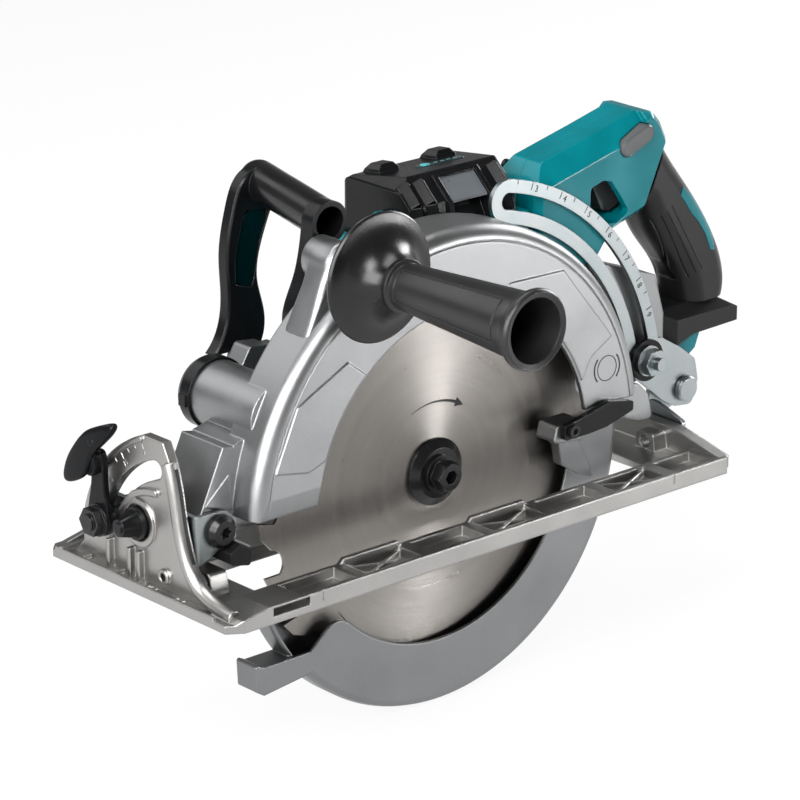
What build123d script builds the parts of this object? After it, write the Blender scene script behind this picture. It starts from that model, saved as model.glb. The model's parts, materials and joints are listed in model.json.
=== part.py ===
"""Rear handle circular saw, as a jointed assembly of its separate pieces.

The saw is laid out about its cut line: X runs from the front of the shoe to the rear, Y from the
blade side to the motor side, Z up from the sole. The blade's axis crosses the X-Z plane at
(0, axis_z) and its middle plane is Y = 0. The pieces are written with the origin moved to the
middle of the sole. All lengths are millimetres.
"""
from build123d import *
from math import acos, atan2, cos, degrees, hypot, pi, radians, sin, tan
import os

# Fits
free_gap = 0.4
run_fit = 0.05
sheet_gap = 1.5

# Blade and spindle
blade_r = 130.0
blade_t = 1.8
blade_teeth = 24
gullet_depth = 15.0
relief_r = 2.6
relief_inset = 25.0
bore_r = 12.7
axis_z = 33.0
flange_r = 20.0
flange_t = 3.7
dish_h = 5.5
spindle_r = 7.5
bolt_r = 4.0
bolt_hex_r = 9.0

# Lower guard
guard_gap = 7.8
guard_wall = 2.0
guard_r = blade_r + guard_gap + guard_wall
guard_near = -9.0
guard_far = 8.0
guard_band = 38.8
guard_inner_r = guard_r - guard_band
guard_rear_deg = 362.0
guard_near_deg = 219.5
guard_front_deg = 203.0
beak_h = 14.0
seat_z = 34.0
seat_h = 13.0
seat_len = 24.0
lever_gap = 1.9
lever_t = 3.7
lever_z = 38.4
lever_reach = 37.0

# Blade case
case_gap = 5.2
case_wall = 3.0
case_r = guard_r + case_gap + case_wall
case_near = -20.7
case_far = 12.0
case_round = 8.4
window_band = 45.0
window_r = case_r - window_band
case_front_z = 43.0
case_rear_z = 51.0
pad_h = 1.0
rim_line = 0.9
hub_r = 30.0
outlet_deg = 152.5
outlet_inset = 16.0
outlet_r = 19.5
outlet_bore = 17.0
outlet_wall = 2.0
outlet_end = 49.0
nozzle_len = 11.0

# Gear train: module, teeth and shaft directions
gear_module = 1.25
pressure_deg = 25.0
spindle_teeth, idler_small, idler_large, rotor_teeth = 27, 13, 37, 11
idler_dir = 150.0
rotor_dir = 160.0
first_near, first_far = 21.0, 29.0
second_near, second_far = 30.0, 37.0
idler_r = 4.0
lock_r = 5.0

# Housings and motor
gearbox_far = 46.0
motor_r = 33.0
motor_far = 100.0
motor_end = 112.0
motor_wall = 3.0
stator_seat_t = 2.0
stator_r = motor_r - motor_wall - stator_seat_t
stator_bore = 16.0
stator_near, stator_far = 52.0, 88.0
rotor_shaft_r = 4.0
arm_near, arm_far = 20.0, 36.0
motor_foot_h = 7.0
motor_foot_len = 16.0

# Shoe
shoe_out_front, shoe_out_rear = 45.0, 42.0
shoe_front, shoe_rear = -case_r - shoe_out_front, case_r + shoe_out_rear
shoe_near, shoe_far = -54.5, 110.5
shoe_t = 4.5
tray_t = 2.6
rail_h = 10.5
wall_t = 3.0
pocket_len = 40.0
pocket_gap = 8.0
rail_step = 3.0
joint_line = 0.8
slot_front, slot_rear = -case_r, case_r + 4
slot_near, slot_far = -30.0, 23.0
fence_h = 4.6
fence_w = 26.0
bevel_z = 9.0
pivot_pin_r = 4.0

# Bevel quadrant
quadrant_x = shoe_front + 9
quadrant_t = 6.0
quadrant_r = 87.0
bead_r = 4.2
bevel_slot_r = 67.0
bevel_slot_w = 11.0
bevel_rest_deg = 22.0
bevel_max_deg = 45.0
dial_y, dial_z = 36.0, 38.0
dial_r = 9.6
dial_pin_r = 3.0
bevel_bolt_r = 5.0

# Depth linkage: pivot at the front, clamp on the saw, guide pin at the rear
pivot_x, pivot_z = -case_r - 12, 38.5
pivot_r = 5.0
ear_r = 11.0
clamp_x, clamp_z = case_r + 35, 55.5
clamp_r = 4.0
guide_x, guide_z = clamp_x + 34.5, 29.5
guide_pin_r = 5.0
guide_near, guide_far = 12.5, 15.5
guide_ratio = 0.72
guide_slot_w = 10.2
guide_w = 26.0
depth_max_deg = 25.0
sheet_t = 3.0
arm_rear = clamp_x + 23

# Battery and its holder
battery_x0, battery_x1 = 8.0, 88.0
battery_y0, battery_y1 = 24.0, 88.0
battery_z0, battery_z1 = 78.0, 194.0
bump_h = 4.0
flute_h = 4.0
ridge_w = 10.0
button_w = 27.0
button_x = 54.0
rim_w = 4.0
holder_wall = 6.0
holder_top = 165.0
holder_step = 10.0

# Rear handle
handle_near, handle_far = 16.0, 56.0
handle_mid = (handle_near + handle_far) / 2
handle_wall = 5.0
handle_bevel = 4.0
brow_bevel = 9.0
grip_half = 18.0
shelf_top = 79.0

# Side grip, its arm and the front handle
grip_out = 11.7
grip_deg = 118.0
grip_flange_y = -40.0
grip_flange_r = 37.0
grip_end_y = -164.0
boss_r = 12.5
boss_near, boss_far = -10.0, 12.0
stud_r = 5.0
panel_deg, panel_half_deg = 158.0, 40.0
seam_d, seam_deg = 0.55, 4.0
tube_r = 11.5
tube_wall = 2.2
leg_t = 9.0
leg_bevel = 1.2
panel_d = 2.0


def polar(centre, r, deg):
    """Point at a radius and angle from a centre, in the X-Z plane."""
    return (centre[0] + r * cos(radians(deg)), centre[1] + r * sin(radians(deg)))


def turn(point, centre, deg):
    """Point turned about a centre, in the X-Z plane, from +X towards +Z."""
    dx, dz = point[0] - centre[0], point[1] - centre[1]
    return polar(centre, hypot(dx, dz), degrees(atan2(dz, dx)) + deg)


AXIS = (0.0, axis_z)
PIVOT = (pivot_x, pivot_z)
CLAMP = (clamp_x, clamp_z)
GUIDE = (guide_x, guide_z)
GRIP = polar(AXIS, case_r + grip_out, grip_deg)
OUTLET = polar(AXIS, case_r - outlet_inset, outlet_deg)
IDLER = polar(AXIS, gear_module * (spindle_teeth + idler_small) / 2, idler_dir)
ROTOR = polar(IDLER, gear_module * (idler_large + rotor_teeth) / 2, rotor_dir)


def poly(*points):
    return make_face(Polyline(*points, close=True))


def rounded(sketch, radius):
    return fillet(sketch.vertices(), radius)


def disc(centre, r):
    return Pos(*centre) * Circle(r)


def slab(sketch, y0, y1):
    """Sketch of (x, z) carried from y0 to y1."""
    plane = Plane(origin=(0, y1, 0), x_dir=(1, 0, 0), z_dir=(0, -1, 0))
    return extrude(plane * sketch, amount=y1 - y0)


def slab_x(sketch, x0, x1):
    """Sketch of (y, z) carried from x0 to x1."""
    plane = Plane(origin=(x0, 0, 0), x_dir=(0, 1, 0), z_dir=(1, 0, 0))
    return extrude(plane * sketch, amount=x1 - x0)


def slab_z(sketch, z0, z1):
    """Sketch of (x, y) carried from z0 to z1."""
    return extrude(Plane(origin=(0, 0, z0)) * sketch, amount=z1 - z0)


def box(x0, x1, y0, y1, z0, z1):
    return Pos((x0 + x1) / 2, (y0 + y1) / 2, (z0 + z1) / 2) * Box(x1 - x0, y1 - y0, z1 - z0)


def rod(centre, r, y0, y1):
    return slab(disc(centre, r), y0, y1)


def ring(centre, r_out, r_in, y0, y1):
    return slab(disc(centre, r_out) - disc(centre, r_in), y0, y1)


def rod_x(y, z, r, x0, x1):
    return slab_x(Pos(y, z) * Circle(r), x0, x1)


def turned(centre, face, start=0.0, sweep_deg=360.0):
    """Face of (radius, y) turned about the Y line through a centre, from a start angle."""
    plane = Plane(origin=(centre[0], 0, centre[1]), x_dir=(1, 0, 0), z_dir=(0, 0, 1))
    spun = revolve(plane * face, Axis((centre[0], 0, centre[1]), (0, -1, 0)), sweep_deg)
    return spun.rotate(Axis((centre[0], 0, centre[1]), (0, -1, 0)), start)


# Gears


def gear_outline(centre, teeth, first_deg):
    """Involute spur gear with short teeth, one tooth centred at first_deg."""
    pitch = gear_module * teeth / 2
    base = pitch * cos(radians(pressure_deg))
    tip, root = pitch + 0.8 * gear_module, pitch - 1.15 * gear_module
    involute = tan(radians(pressure_deg)) - radians(pressure_deg)
    half_pitch = pi / (2 * teeth) - 0.06 * gear_module / pitch

    def half_angle(r):
        a = acos(min(1.0, base / max(r, base)))
        return half_pitch + involute - (tan(a) - a)

    radii = [root, max(base, root + 0.01), (max(base, root) + tip) / 2, tip]
    points = []
    for tooth in range(teeth):
        mid = first_deg + tooth * 360 / teeth
        points += [polar(centre, r, mid - degrees(half_angle(r))) for r in radii]
        points += [polar(centre, r, mid + degrees(half_angle(r))) for r in reversed(radii)]
    return poly(*points)


def spindle_gear():
    teeth = gear_outline(AXIS, spindle_teeth, idler_dir)
    return slab(teeth - disc(AXIS, spindle_r), first_near, first_far)


def idler_shaft():
    pinion = gear_outline(IDLER, idler_small, idler_dir + 180 + 180 / idler_small)
    shaft = rod(IDLER, idler_r, first_near - 6, first_near) + rod(IDLER, idler_r, first_far, second_far + 6)
    return shaft + slab(pinion, first_near, first_far)


def idler_gear():
    teeth = gear_outline(IDLER, idler_large, rotor_dir)
    return slab(teeth - disc(IDLER, idler_r), second_near, second_far)


def rotor_shaft():
    pinion = gear_outline(ROTOR, rotor_teeth, rotor_dir + 180 + 180 / rotor_teeth)
    shaft = rod(ROTOR, rotor_shaft_r, second_far, motor_end - 5)
    return shaft + slab(pinion, second_near, second_far)


# Blade and spindle set


def saw_blade():
    """Round plate with hooked teeth and wide round gullets; teeth lead clockwise from the near side."""
    pitch = 360 / blade_teeth
    edges = []
    for tooth in range(blade_teeth):
        lead = tooth * pitch
        tip = polar(AXIS, blade_r, lead)
        heel = polar(AXIS, blade_r - 2, lead + 0.30 * pitch)
        rise = polar(AXIS, blade_r - 0.55 * gullet_depth, lead + 0.56 * pitch)
        floor = polar(AXIS, blade_r - gullet_depth, lead + 0.84 * pitch)
        face = polar(AXIS, blade_r - 0.75 * gullet_depth, lead + 1.09 * pitch)
        next_tip = polar(AXIS, blade_r, lead + pitch)
        edges += [Line(tip, heel), Line(heel, rise)]
        edges += [ThreePointArc(rise, floor, face), Line(face, next_tip)]
    relief = disc(polar(AXIS, blade_r - relief_inset, 268), relief_r)
    return slab(make_face(edges) - disc(AXIS, bore_r) - relief, -blade_t / 2, blade_t / 2)


def spindle():
    shaft = rod(AXIS, spindle_r, -blade_t / 2 + 0.2, first_far + 0.4)
    return shaft - rod(AXIS, bolt_r, -blade_t / 2, 14)


def inner_flange():
    face = blade_t / 2
    body = rod(AXIS, flange_r, face, face + flange_t) + rod(AXIS, bore_r - 0.02, -face + 0.2, face)
    return body - rod(AXIS, spindle_r, -face, face + flange_t)


def outer_flange():
    """Dished washer: flat rim on the blade and a cone up to the bolt's seat."""
    y = -blade_t / 2
    crown = flange_r - 5
    section = poly((bolt_r, y), (flange_r, y), (flange_r, y - 2.2), (crown, y - dish_h),
                   (bolt_r, y - dish_h))
    return turned(AXIS, section)


def blade_bolt():
    """Hex bolt with a washer face, a chamfered head and a hex socket."""
    seat = -blade_t / 2 - dish_h
    top = seat - 10
    shank = rod(AXIS, bolt_r, seat, 12)
    washer = rod(AXIS, bolt_hex_r + 2.5, seat - 2.0, seat)
    head = slab(Pos(*AXIS) * RegularPolygon(bolt_hex_r, 6), top, seat - 2.0)
    brow = bolt_hex_r + 1
    crown = poly((0, top), (brow - 2.3, top), (brow, top + 2), (brow, seat), (0, seat))
    socket = slab(Pos(*AXIS) * RegularPolygon(bolt_hex_r / 2, 6), top, seat - 4.5)
    return shank + washer + (head & turned(AXIS, crown)) - socket


# Blade case and what is fixed to it


def case_section():
    """Section of (radius, y): near plate with its rounded shoulder, rim wall and back plate."""
    rim, near, far, t = case_r, case_near, case_far, case_wall
    crease, bend = rim - case_round, near + case_round
    slant, inner = sin(pi / 4), case_round - t
    eye = hub_r + free_gap
    outside = ThreePointArc((crease, near), (crease + case_round * slant, bend - case_round * slant),
                            (rim, bend))
    inside = ThreePointArc((rim - t, bend), (crease + inner * slant, bend - inner * slant),
                           (crease, near + t))
    back = Polyline((rim, bend), (rim, far), (eye, far), (eye, far - t), (rim - t, far - t),
                    (rim - t, bend))
    lip = Polyline((crease, near + t), (window_r, near + t), (window_r, near), (crease, near))
    return make_face([outside, inside, *back.edges(), *lip.edges()])


def lug_outline():
    """Front lug: an eye round the pivot with a leaning front edge that clears the shoe when the saw tips."""
    lean = radians(depth_max_deg)
    toe = polar(PIVOT, ear_r + 2, 180 - depth_max_deg)
    brow = (toe[0] + 44 * sin(lean), toe[1] + 44 * cos(lean))
    root = case_r - case_wall / 2
    x, z = PIVOT
    return poly(toe, brow, polar(AXIS, root, 161), polar(AXIS, root, 176), (x + 18, z - 8), (x + 4, z - 13),
                (x - 6, z - 12), (x - 12.2, z - 4))


def near_pads():
    """Shallow raised panels of the near plate: a chevron behind the grip and a panel in front of it."""
    low, high = window_r + 1.5, case_r - 12.8
    rear = poly(polar(AXIS, low, 73), polar(AXIS, case_r - 32, 69.7), polar(AXIS, high, 52.8),
                polar(AXIS, high, 26.2), polar(AXIS, case_r - 32, 25.6), polar(AXIS, low, 21))
    front = poly(polar(AXIS, low, 131), polar(AXIS, case_r - 27.5, 132.5), polar(AXIS, case_r - 10.5, 149),
                 polar(AXIS, case_r - 9.5, 165), polar(AXIS, low + 10, 164), polar(AXIS, low, 160))
    pads = (rear + front) - disc(AXIS, low)
    return slab(pads, case_near - pad_h, case_near)


def outlet_tube():
    """Dust outlet: a tube off the case's front, carried by a web from the lug."""
    root = case_r - case_wall / 2
    inside = rod(AXIS, root, case_near, case_far - case_wall / 2)
    tube = rod(OUTLET, outlet_r, -4, outlet_end)
    web = slab(poly(polar(OUTLET, outlet_r - 1, 205), polar(OUTLET, outlet_r - 1, 300),
                    polar(AXIS, root, 163),
                    (OUTLET[0] - 29, OUTLET[1] - 11)), 0, arm_far)
    return tube + web - inside


def blade_case():
    """Upper guard casting: turned shell, hub, raised panels, pivot lug, tail and dust outlet."""
    shell = turned(AXIS, case_section())
    reach, back = case_r + 1, case_far - case_wall
    below_front = box(-reach, 0, case_near - 1, back, axis_z - reach, case_front_z)
    below_rear = box(0, reach, case_near - 1, back, axis_z - reach, case_rear_z)
    back_low = box(-reach, reach, back - 1, case_far + 1, axis_z - reach, axis_z - 4)
    shell = shell + near_pads() - below_front - below_rear - back_low
    slope = poly((case_near - 2, case_front_z - 1), (case_near + case_wall / 2, case_front_z - 1),
                 (case_near - pad_h, case_front_z + 19), (case_near - 2, case_front_z + 19))
    shell = shell - slab_x(slope, -reach, -window_r + 6)
    crease = case_r - case_round
    shell = shell - ring(AXIS, crease, crease - rim_line, case_near - 1, case_near + rim_line)
    hub = ring(AXIS, hub_r + 7, hub_r + free_gap, back, case_far)
    lug = slab(lug_outline(), 0, arm_far) - rod(PIVOT, pivot_r + run_fit, -1, arm_far + 1)
    gusset = poly((pivot_x - 7, pivot_z + 14), (pivot_x + 10, pivot_z + 29), (pivot_x + 12, pivot_z + 8))
    gusset = slab(gusset, -0.7, 0)
    lug = lug + gusset - rod(AXIS, case_r - case_wall, -2, case_far)
    x, z = case_r, axis_z
    tail = poly((x - 22, z + 25), (x + 20, z + 13), (x + 28, z + 5), (x + 32, z - 11), (x + 20, z - 11),
                (x + 2, z - 3),
                (x - 18, z + 1))
    tail = slab(rounded(tail, 2), 2, 10) - rod(AXIS, case_r - case_wall, 0, back)
    throat = rod(OUTLET, outlet_r - outlet_wall, back - 1, outlet_end + 1)
    return shell + hub + lug + tail + outlet_tube() - throat


def dust_nozzle():
    """Ring that caps the dust outlet, with a stepped rim and a joint in its band."""
    y0, y1 = outlet_end, outlet_end + nozzle_len
    rim = outlet_r + 1.5
    section = poly((outlet_bore, y0), (rim, y0), (rim, y1 - 3), (outlet_r, y1), (outlet_bore, y1))
    nib = slab(Pos(*polar(OUTLET, rim, 180)) * Rectangle(3, 7), y0 + 1, y1 - 4)
    return turned(OUTLET, section) + (nib - rod(OUTLET, rim - 1, y0, y1))


def guard_retainer():
    """Ring screwed to the hub nose that keeps the lower guard on it."""
    return ring(AXIS, hub_r + 3.5, flange_r + 2.5, guard_far - 3.9, guard_far - 2.9)


def guard_spring():
    """Return spring of the lower guard, a close coil lying along the case wall."""
    half = 22.0
    lie = 75.0
    mid = polar(AXIS, (window_r + case_r) / 2 - 5.5, lie)
    along = (sin(radians(lie)), -cos(radians(lie)))
    start = (mid[0] - half * along[0], case_near + case_wall + 4.1, mid[1] - half * along[1])
    plane = Plane(origin=start, z_dir=(along[0], 0, along[1]))
    return extrude(plane * (Circle(3.2) - Circle(2.0)), amount=2 * half)


def rubber_stop():
    """Soft block under the pivot that the guard's front meets, with a root moulded round the lug's edge."""
    x, z = PIVOT
    block = poly((x + 2, z - 19), (x + 15, z - 22), (x + 17, z - 13), (x + 9, z - 8), (x + 1.5, z - 12))
    root = poly((x + 3, z - 16), (x + 14, z - 16), (x + 14, z - 6), (x + 3, z - 8))
    body = slab(rounded(block, 1.8), guard_near - 3, case_far) + slab(root, 0, case_far - case_wall - 0.5)
    return body - slab(lug_outline(), 0, arm_far)


# Lower guard


def guard_section(near_plate):
    """Section of (radius, y) of the lower guard's shell, with or without its near plate."""
    r, t, y0, y1 = guard_r, guard_wall, guard_near, guard_far
    back = guard_inner_r - 8
    points = [(back, y1), (back, y1 - t), (r - t, y1 - t), (r - t, y0 + t)]
    lip = [(guard_inner_r, y0 + t), (guard_inner_r, y0), (r - 4, y0), (r - 1.2, y0 + 1.2), (r, y0 + 4)]
    return poly(*points, *(lip if near_plate else [(r, y0 + 4)]), (r, y1))


def guard_beak():
    """Snout ahead of the near plate that rides up on the work; its inside clears the blade."""
    root = polar(AXIS, guard_r - 1, guard_near_deg + 3)
    tip_x = -guard_r
    low = root[1] - 3
    side = poly((root[0] + 3, low + 2), (tip_x + 6, low - 2), (tip_x + 1, low + 1),
                (tip_x, low + 4 + beak_h),
                (tip_x + 6, low + 1 + beak_h), (root[0] + 6, low + 1 + beak_h))
    inside = rod(AXIS, guard_r - guard_wall, guard_near + guard_wall, guard_far - guard_wall)
    return slab(rounded(side, 1.5), guard_near, guard_far) - inside


def lever_seat():
    """Block on the guard's near plate that carries the lever, with a web below it and a finger."""
    x1 = guard_inner_r - 2.6
    x0, top = x1 - seat_len, seat_z + seat_h
    out = case_near - lever_gap
    seat = slab(rounded(poly((x0, seat_z + 3), (x1, seat_z), (x1, top), (x0 + 3, top)), 2), out,
                guard_near + guard_wall)
    r = guard_inner_r
    web = poly((x0 + 6, seat_z + 3), (x1, seat_z), (r + 11, axis_z - 11), (r + 3, axis_z - 21))
    web = slab(web, guard_near, guard_near + guard_wall)
    finger = poly((x0 + 10, seat_z + 2), (x1 - 1, seat_z + 2), (r + 7, axis_z - 14), (r + 13, axis_z - 29),
                  (r + 6, axis_z - 26), (x0 + 13, axis_z - 14))
    return seat + web + slab(rounded(finger, 1.5), guard_near - 7, guard_near)


def lower_guard():
    """Crescent shell on a hub: near plate with a rounded front, rim, back plate, beak and lever seat."""
    shell = turned(AXIS, guard_section(True), guard_near_deg, guard_rear_deg - guard_near_deg)
    front = turned(AXIS, guard_section(False), guard_front_deg, guard_near_deg - guard_front_deg + 1)
    corner = polar(AXIS, guard_inner_r, guard_near_deg)
    blunt = 11.0
    heart = polar(corner, blunt * 2 ** 0.5, guard_near_deg + 45)
    nick = poly(corner, polar(corner, blunt, guard_near_deg), heart,
                polar(corner, blunt, guard_near_deg + 90))
    nick = slab(nick - disc(heart, blunt), guard_near - 1, guard_near + guard_wall + 0.5)
    y0, y1 = guard_far - 2.5, guard_far
    hub = ring(AXIS, hub_r + 9, hub_r + free_gap, y0, y1)
    spoke = poly(polar(AXIS, hub_r + 4, 250), polar(AXIS, hub_r + 4, 340), polar(AXIS, guard_inner_r, 345),
                 polar(AXIS, guard_inner_r, 285))
    spoke = slab(spoke, y0, y1) - rod(AXIS, hub_r + free_gap, y0 - 1, y1 + 1)
    return shell - nick + front + hub + spoke + guard_beak() + lever_seat()


def lever_bar():
    """Span of the lever across the saw."""
    return case_near - lever_gap - lever_t, case_near - lever_gap


def guard_lever():
    """Black bar bolted on the seat, reaching back over the case's rear edge."""
    x, z = guard_inner_r - 21, lever_z
    reach = guard_inner_r - 2.6 + lever_reach
    side = poly((x, z), (x + 20, z), (x + 34, z + 1), (reach, z + 6.5), (reach, z + 12), (x + 36, z + 16),
                (x + 18, z + 12),
                (x, z + 9))
    return slab(rounded(side, 1.5), *lever_bar()) - rod(lever_screw_place(), bolt_r - 1, *lever_bar())


def lever_screw_place():
    return (guard_inner_r - 15, lever_z + 5)


def lever_screw():
    """Socket screw that holds the lever on its seat."""
    y0, y1 = lever_bar()
    place = lever_screw_place()
    head = rod(place, bolt_r, y0 - 2.6, y0) + rod(place, bolt_r - 1, y0, y1)
    return head - slab(Pos(*place) * RegularPolygon(bolt_r / 2, 6), y0 - 3, y0 - 1)


# Gearbox and motor


def gearbox_outline():
    """Discs round the three shafts with the tangent flanks between them."""
    spindle_pitch = gear_module * spindle_teeth / 2
    idler_pitch = gear_module * idler_large / 2
    discs = [(AXIS, spindle_pitch + 5.6), (IDLER, idler_pitch + 5.4), (ROTOR, motor_r)]
    face = disc(*discs[0]) + disc(*discs[1]) + disc(*discs[2])
    for (a, ra), (b, rb) in zip(discs, discs[1:]):
        along = degrees(atan2(b[1] - a[1], b[0] - a[0]))
        left, right = along + 90, along - 90
        face += poly(polar(a, ra, left), polar(b, rb, left), polar(b, rb, right), polar(a, ra, right))
    return face


def gear_cavity():
    """Room for the four gears, a little over their tips."""
    room = gear_module * 0.8 + 1.1
    half = gear_module / 2
    first = disc(AXIS, half * spindle_teeth + room) + disc(IDLER, half * idler_small + room + 0.3)
    second = disc(IDLER, half * idler_large + room) + disc(ROTOR, half * rotor_teeth + room + 0.5)
    far = second_far + 0.5
    return slab(first, first_near - 0.5, far) + slab(second, second_near - 0.5, far)


def arm_outline():
    """Arm from the gearbox to the rear handle, passing the depth clamp."""
    floor = holder_floor()
    x, z = CLAMP
    return poly((0, axis_z + 7), (battery_x0 + 2, floor), (battery_x1 + 7, floor), (97, 105), (147, 121),
                (160, 118),
                (x + 15, 104), (arm_rear, shelf_top - 1), (arm_rear, z - 11.5), (x - 7, z - 17.5),
                (120, axis_z + 1),
                (60, axis_z - 7), (14, axis_z - 17))


def holder_floor():
    return battery_z0 - 4.0


def gear_housing():
    """Gearbox casting with its hub nose, bearing seats and the arm that carries the handle."""
    body = slab(gearbox_outline(), case_far, gearbox_far)
    arm = slab(arm_outline(), arm_near, arm_far)
    nose = rod(AXIS, hub_r, guard_far - 2.9, case_far)
    body = body + nose + arm - gear_cavity()
    body = body - rod(AXIS, bearing_r(spindle_r), guard_far - 4, first_near - 0.4)
    for y0, y1 in ((first_near - 6.2, first_near), (second_far, second_far + 6.2)):
        body = body - rod(IDLER, bearing_r(idler_r) - 3.5, y0, y1)
    body = body - rod(ROTOR, bearing_r(rotor_shaft_r) - 0.5, second_far, gearbox_far + 1)
    body = body - rod(CLAMP, clamp_r, arm_near - 1, arm_far + 1)
    x = clamp_x
    relief = poly((x - 73, 50), (x - 33, 58), (x - 23, 96), (x - 71, 92))
    relief = slab(rounded(relief, 6), arm_near - 1, arm_near + 6)
    return body - relief - rod(lock_place(), lock_r + run_fit, second_far, gearbox_far + 1)


def bearing_r(shaft):
    """Outer radius of the ball bearing chosen for a shaft."""
    return shaft + 7.5


def lock_place():
    return (AXIS[0] + 10, AXIS[1] - 8)


def shaft_lock():
    """Button on the gearbox's far wall that pins the spindle gear."""
    place = lock_place()
    stem = rod(place, lock_r, first_far + 2.5, gearbox_far + 3)
    return stem + rod(place, lock_r + 3, gearbox_far + 2.8, gearbox_far + 7)


def bearings():
    """Ball bearings of the three shafts, drawn as plain rings."""
    def pair(centre, shaft, outer, *spans):
        rings = [ring(centre, outer, shaft + run_fit, y0, y1) for y0, y1 in spans]
        return rings[0] + rings[1]

    far, nose = second_far, guard_far
    spindle_set = pair(AXIS, spindle_r, bearing_r(spindle_r), (nose - 2.4, nose + 4.6),
                       (nose + 5.4, first_near - 0.6))
    idler_set = pair(IDLER, idler_r, bearing_r(idler_r) - 3.5, (first_near - 6, first_near - 0.6),
                     (far + 0.6, far + 6))
    inner = ring(ROTOR, bearing_r(rotor_shaft_r) - 0.5, rotor_shaft_r + run_fit, far + 0.6, far + 8)
    outer = ring(ROTOR, rotor_shaft_r + 5, rotor_shaft_r + run_fit, motor_end - 10, motor_end - 4)
    return spindle_set + idler_set + inner + outer


def motor_housing():
    """Barrel round the motor with a stator seat, the front handle's foot and a connector block."""
    x, z = ROTOR
    barrel = ring(ROTOR, motor_r, motor_r - motor_wall, gearbox_far, motor_far)
    seat = ring(ROTOR, motor_r - motor_wall, stator_r, stator_near + 4, stator_far - 4)
    top = motor_foot_z()
    low = z + motor_r - 9
    foot = poly((x - 22, low), (x - 18, top), (x + 12, top), (x + 20, low))
    foot = slab(rounded(foot, 3), motor_far - motor_foot_len, motor_far)
    block = poly((x - 30, z + 14), (x - 34, top - 2), (x - 26, top + 11), (x - 10, top + 9),
                 (x - 9, low + 4))
    block = slab(rounded(block, 3), motor_far - motor_foot_len - 14, motor_far - motor_foot_len)
    return barrel + seat + (foot + block - rod(ROTOR, motor_r - 1, gearbox_far, motor_far + 1))


def motor_foot_z():
    """Top of the foot that carries the front handle."""
    return ROTOR[1] + motor_r + motor_foot_h


def motor_end_cover():
    """Dished cap with a ring of cooling slots and the rear bearing seat."""
    y0, y1 = motor_far, motor_end
    seat, inner = rotor_shaft_r + 5, motor_r - motor_wall
    crown, skin = motor_r - 9, y1 - 3.5
    section = poly((seat, y1 - 10), (seat, skin), (0, skin), (0, y1), (crown, y1), (motor_r, y1 - 6),
                   (motor_r, y0),
                   (inner, y0), (inner, y1 - 7), (crown - 1, skin), (seat + 3, skin), (seat + 3, y1 - 10))
    cap = turned(ROTOR, section)
    slot = slab(Pos(*polar(ROTOR, motor_r - 14.5, 0)) * SlotOverall(8, 3), y1 - 5, y1 + 1)
    for k in range(12):
        cap = cap - slot.rotate(Axis((ROTOR[0], 0, ROTOR[1]), (0, 1, 0)), k * 30)
    for place in motor_screw_places():
        cap = cap - rod(place, 3.4, y1 - 4.2, y1 + 1)
    return cap


def motor_screw_places():
    return [polar(ROTOR, motor_r - 6, 45 + 90 * k) for k in range(4)]


def stator():
    """Laminated ring with six pole teeth."""
    root = stator_r - 4
    yoke = ring(ROTOR, stator_r, root - 1, stator_near, stator_far)
    pole = Pos(*ROTOR) * Pos((root + stator_bore) / 2, 0) * Rectangle(root - stator_bore, 7)
    pole = slab(pole, stator_near, stator_far)
    for k in range(6):
        yoke += pole.rotate(Axis((ROTOR[0], 0, ROTOR[1]), (0, 1, 0)), k * 60)
    return yoke - rod(ROTOR, stator_bore, stator_near - 1, stator_far + 1)


def rotor_core():
    return ring(ROTOR, stator_bore - 0.6, rotor_shaft_r, stator_near, stator_far)


def cooling_fan():
    """Back disc with radial blades."""
    y0 = stator_far + 2
    fan_r = motor_r - motor_wall - 4
    fan = ring(ROTOR, fan_r, rotor_shaft_r, y0, y0 + 2)
    blade = slab(Pos(*ROTOR) * Pos(fan_r - 8, 0) * Rectangle(15, 1.6), y0 + 2, y0 + 8)
    for k in range(11):
        fan += blade.rotate(Axis((ROTOR[0], 0, ROTOR[1]), (0, 1, 0)), k * 360 / 11)
    return fan


# Battery and holder


def holder_body():
    w = holder_wall
    return box(battery_x0 - w, battery_x1 + w, battery_y0 - w, battery_y1 + w, holder_floor(), holder_top)


def battery_holder():
    """Open-topped bay round the lower part of the pack: a lower far half, and a stepped tab in front."""
    x0, x1, y0, y1 = battery_x0, battery_x1, battery_y0, battery_y1
    body = fillet(holder_body().edges().filter_by(Axis.Z), 5)
    gap, w, top = free_gap, holder_wall, holder_top
    bay = box(x0 - gap, x1 + gap, y0 - gap, y1 + gap, battery_z0, top + 20)
    notch = box(x0 - w - 1, x1 + w + 1, y0 + 30, y1 + w + 1, top - holder_step, top + 1)
    tab = poly((y0 + 8, top - 1), (y0 + 34, top - holder_step - 1), (y0 + 34, top + 4),
               (y0 + 28, top + 10), (y0 + 16, top + 10))
    return body - notch + slab_x(tab, x0 - w, x0 - gap) - bay


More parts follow.
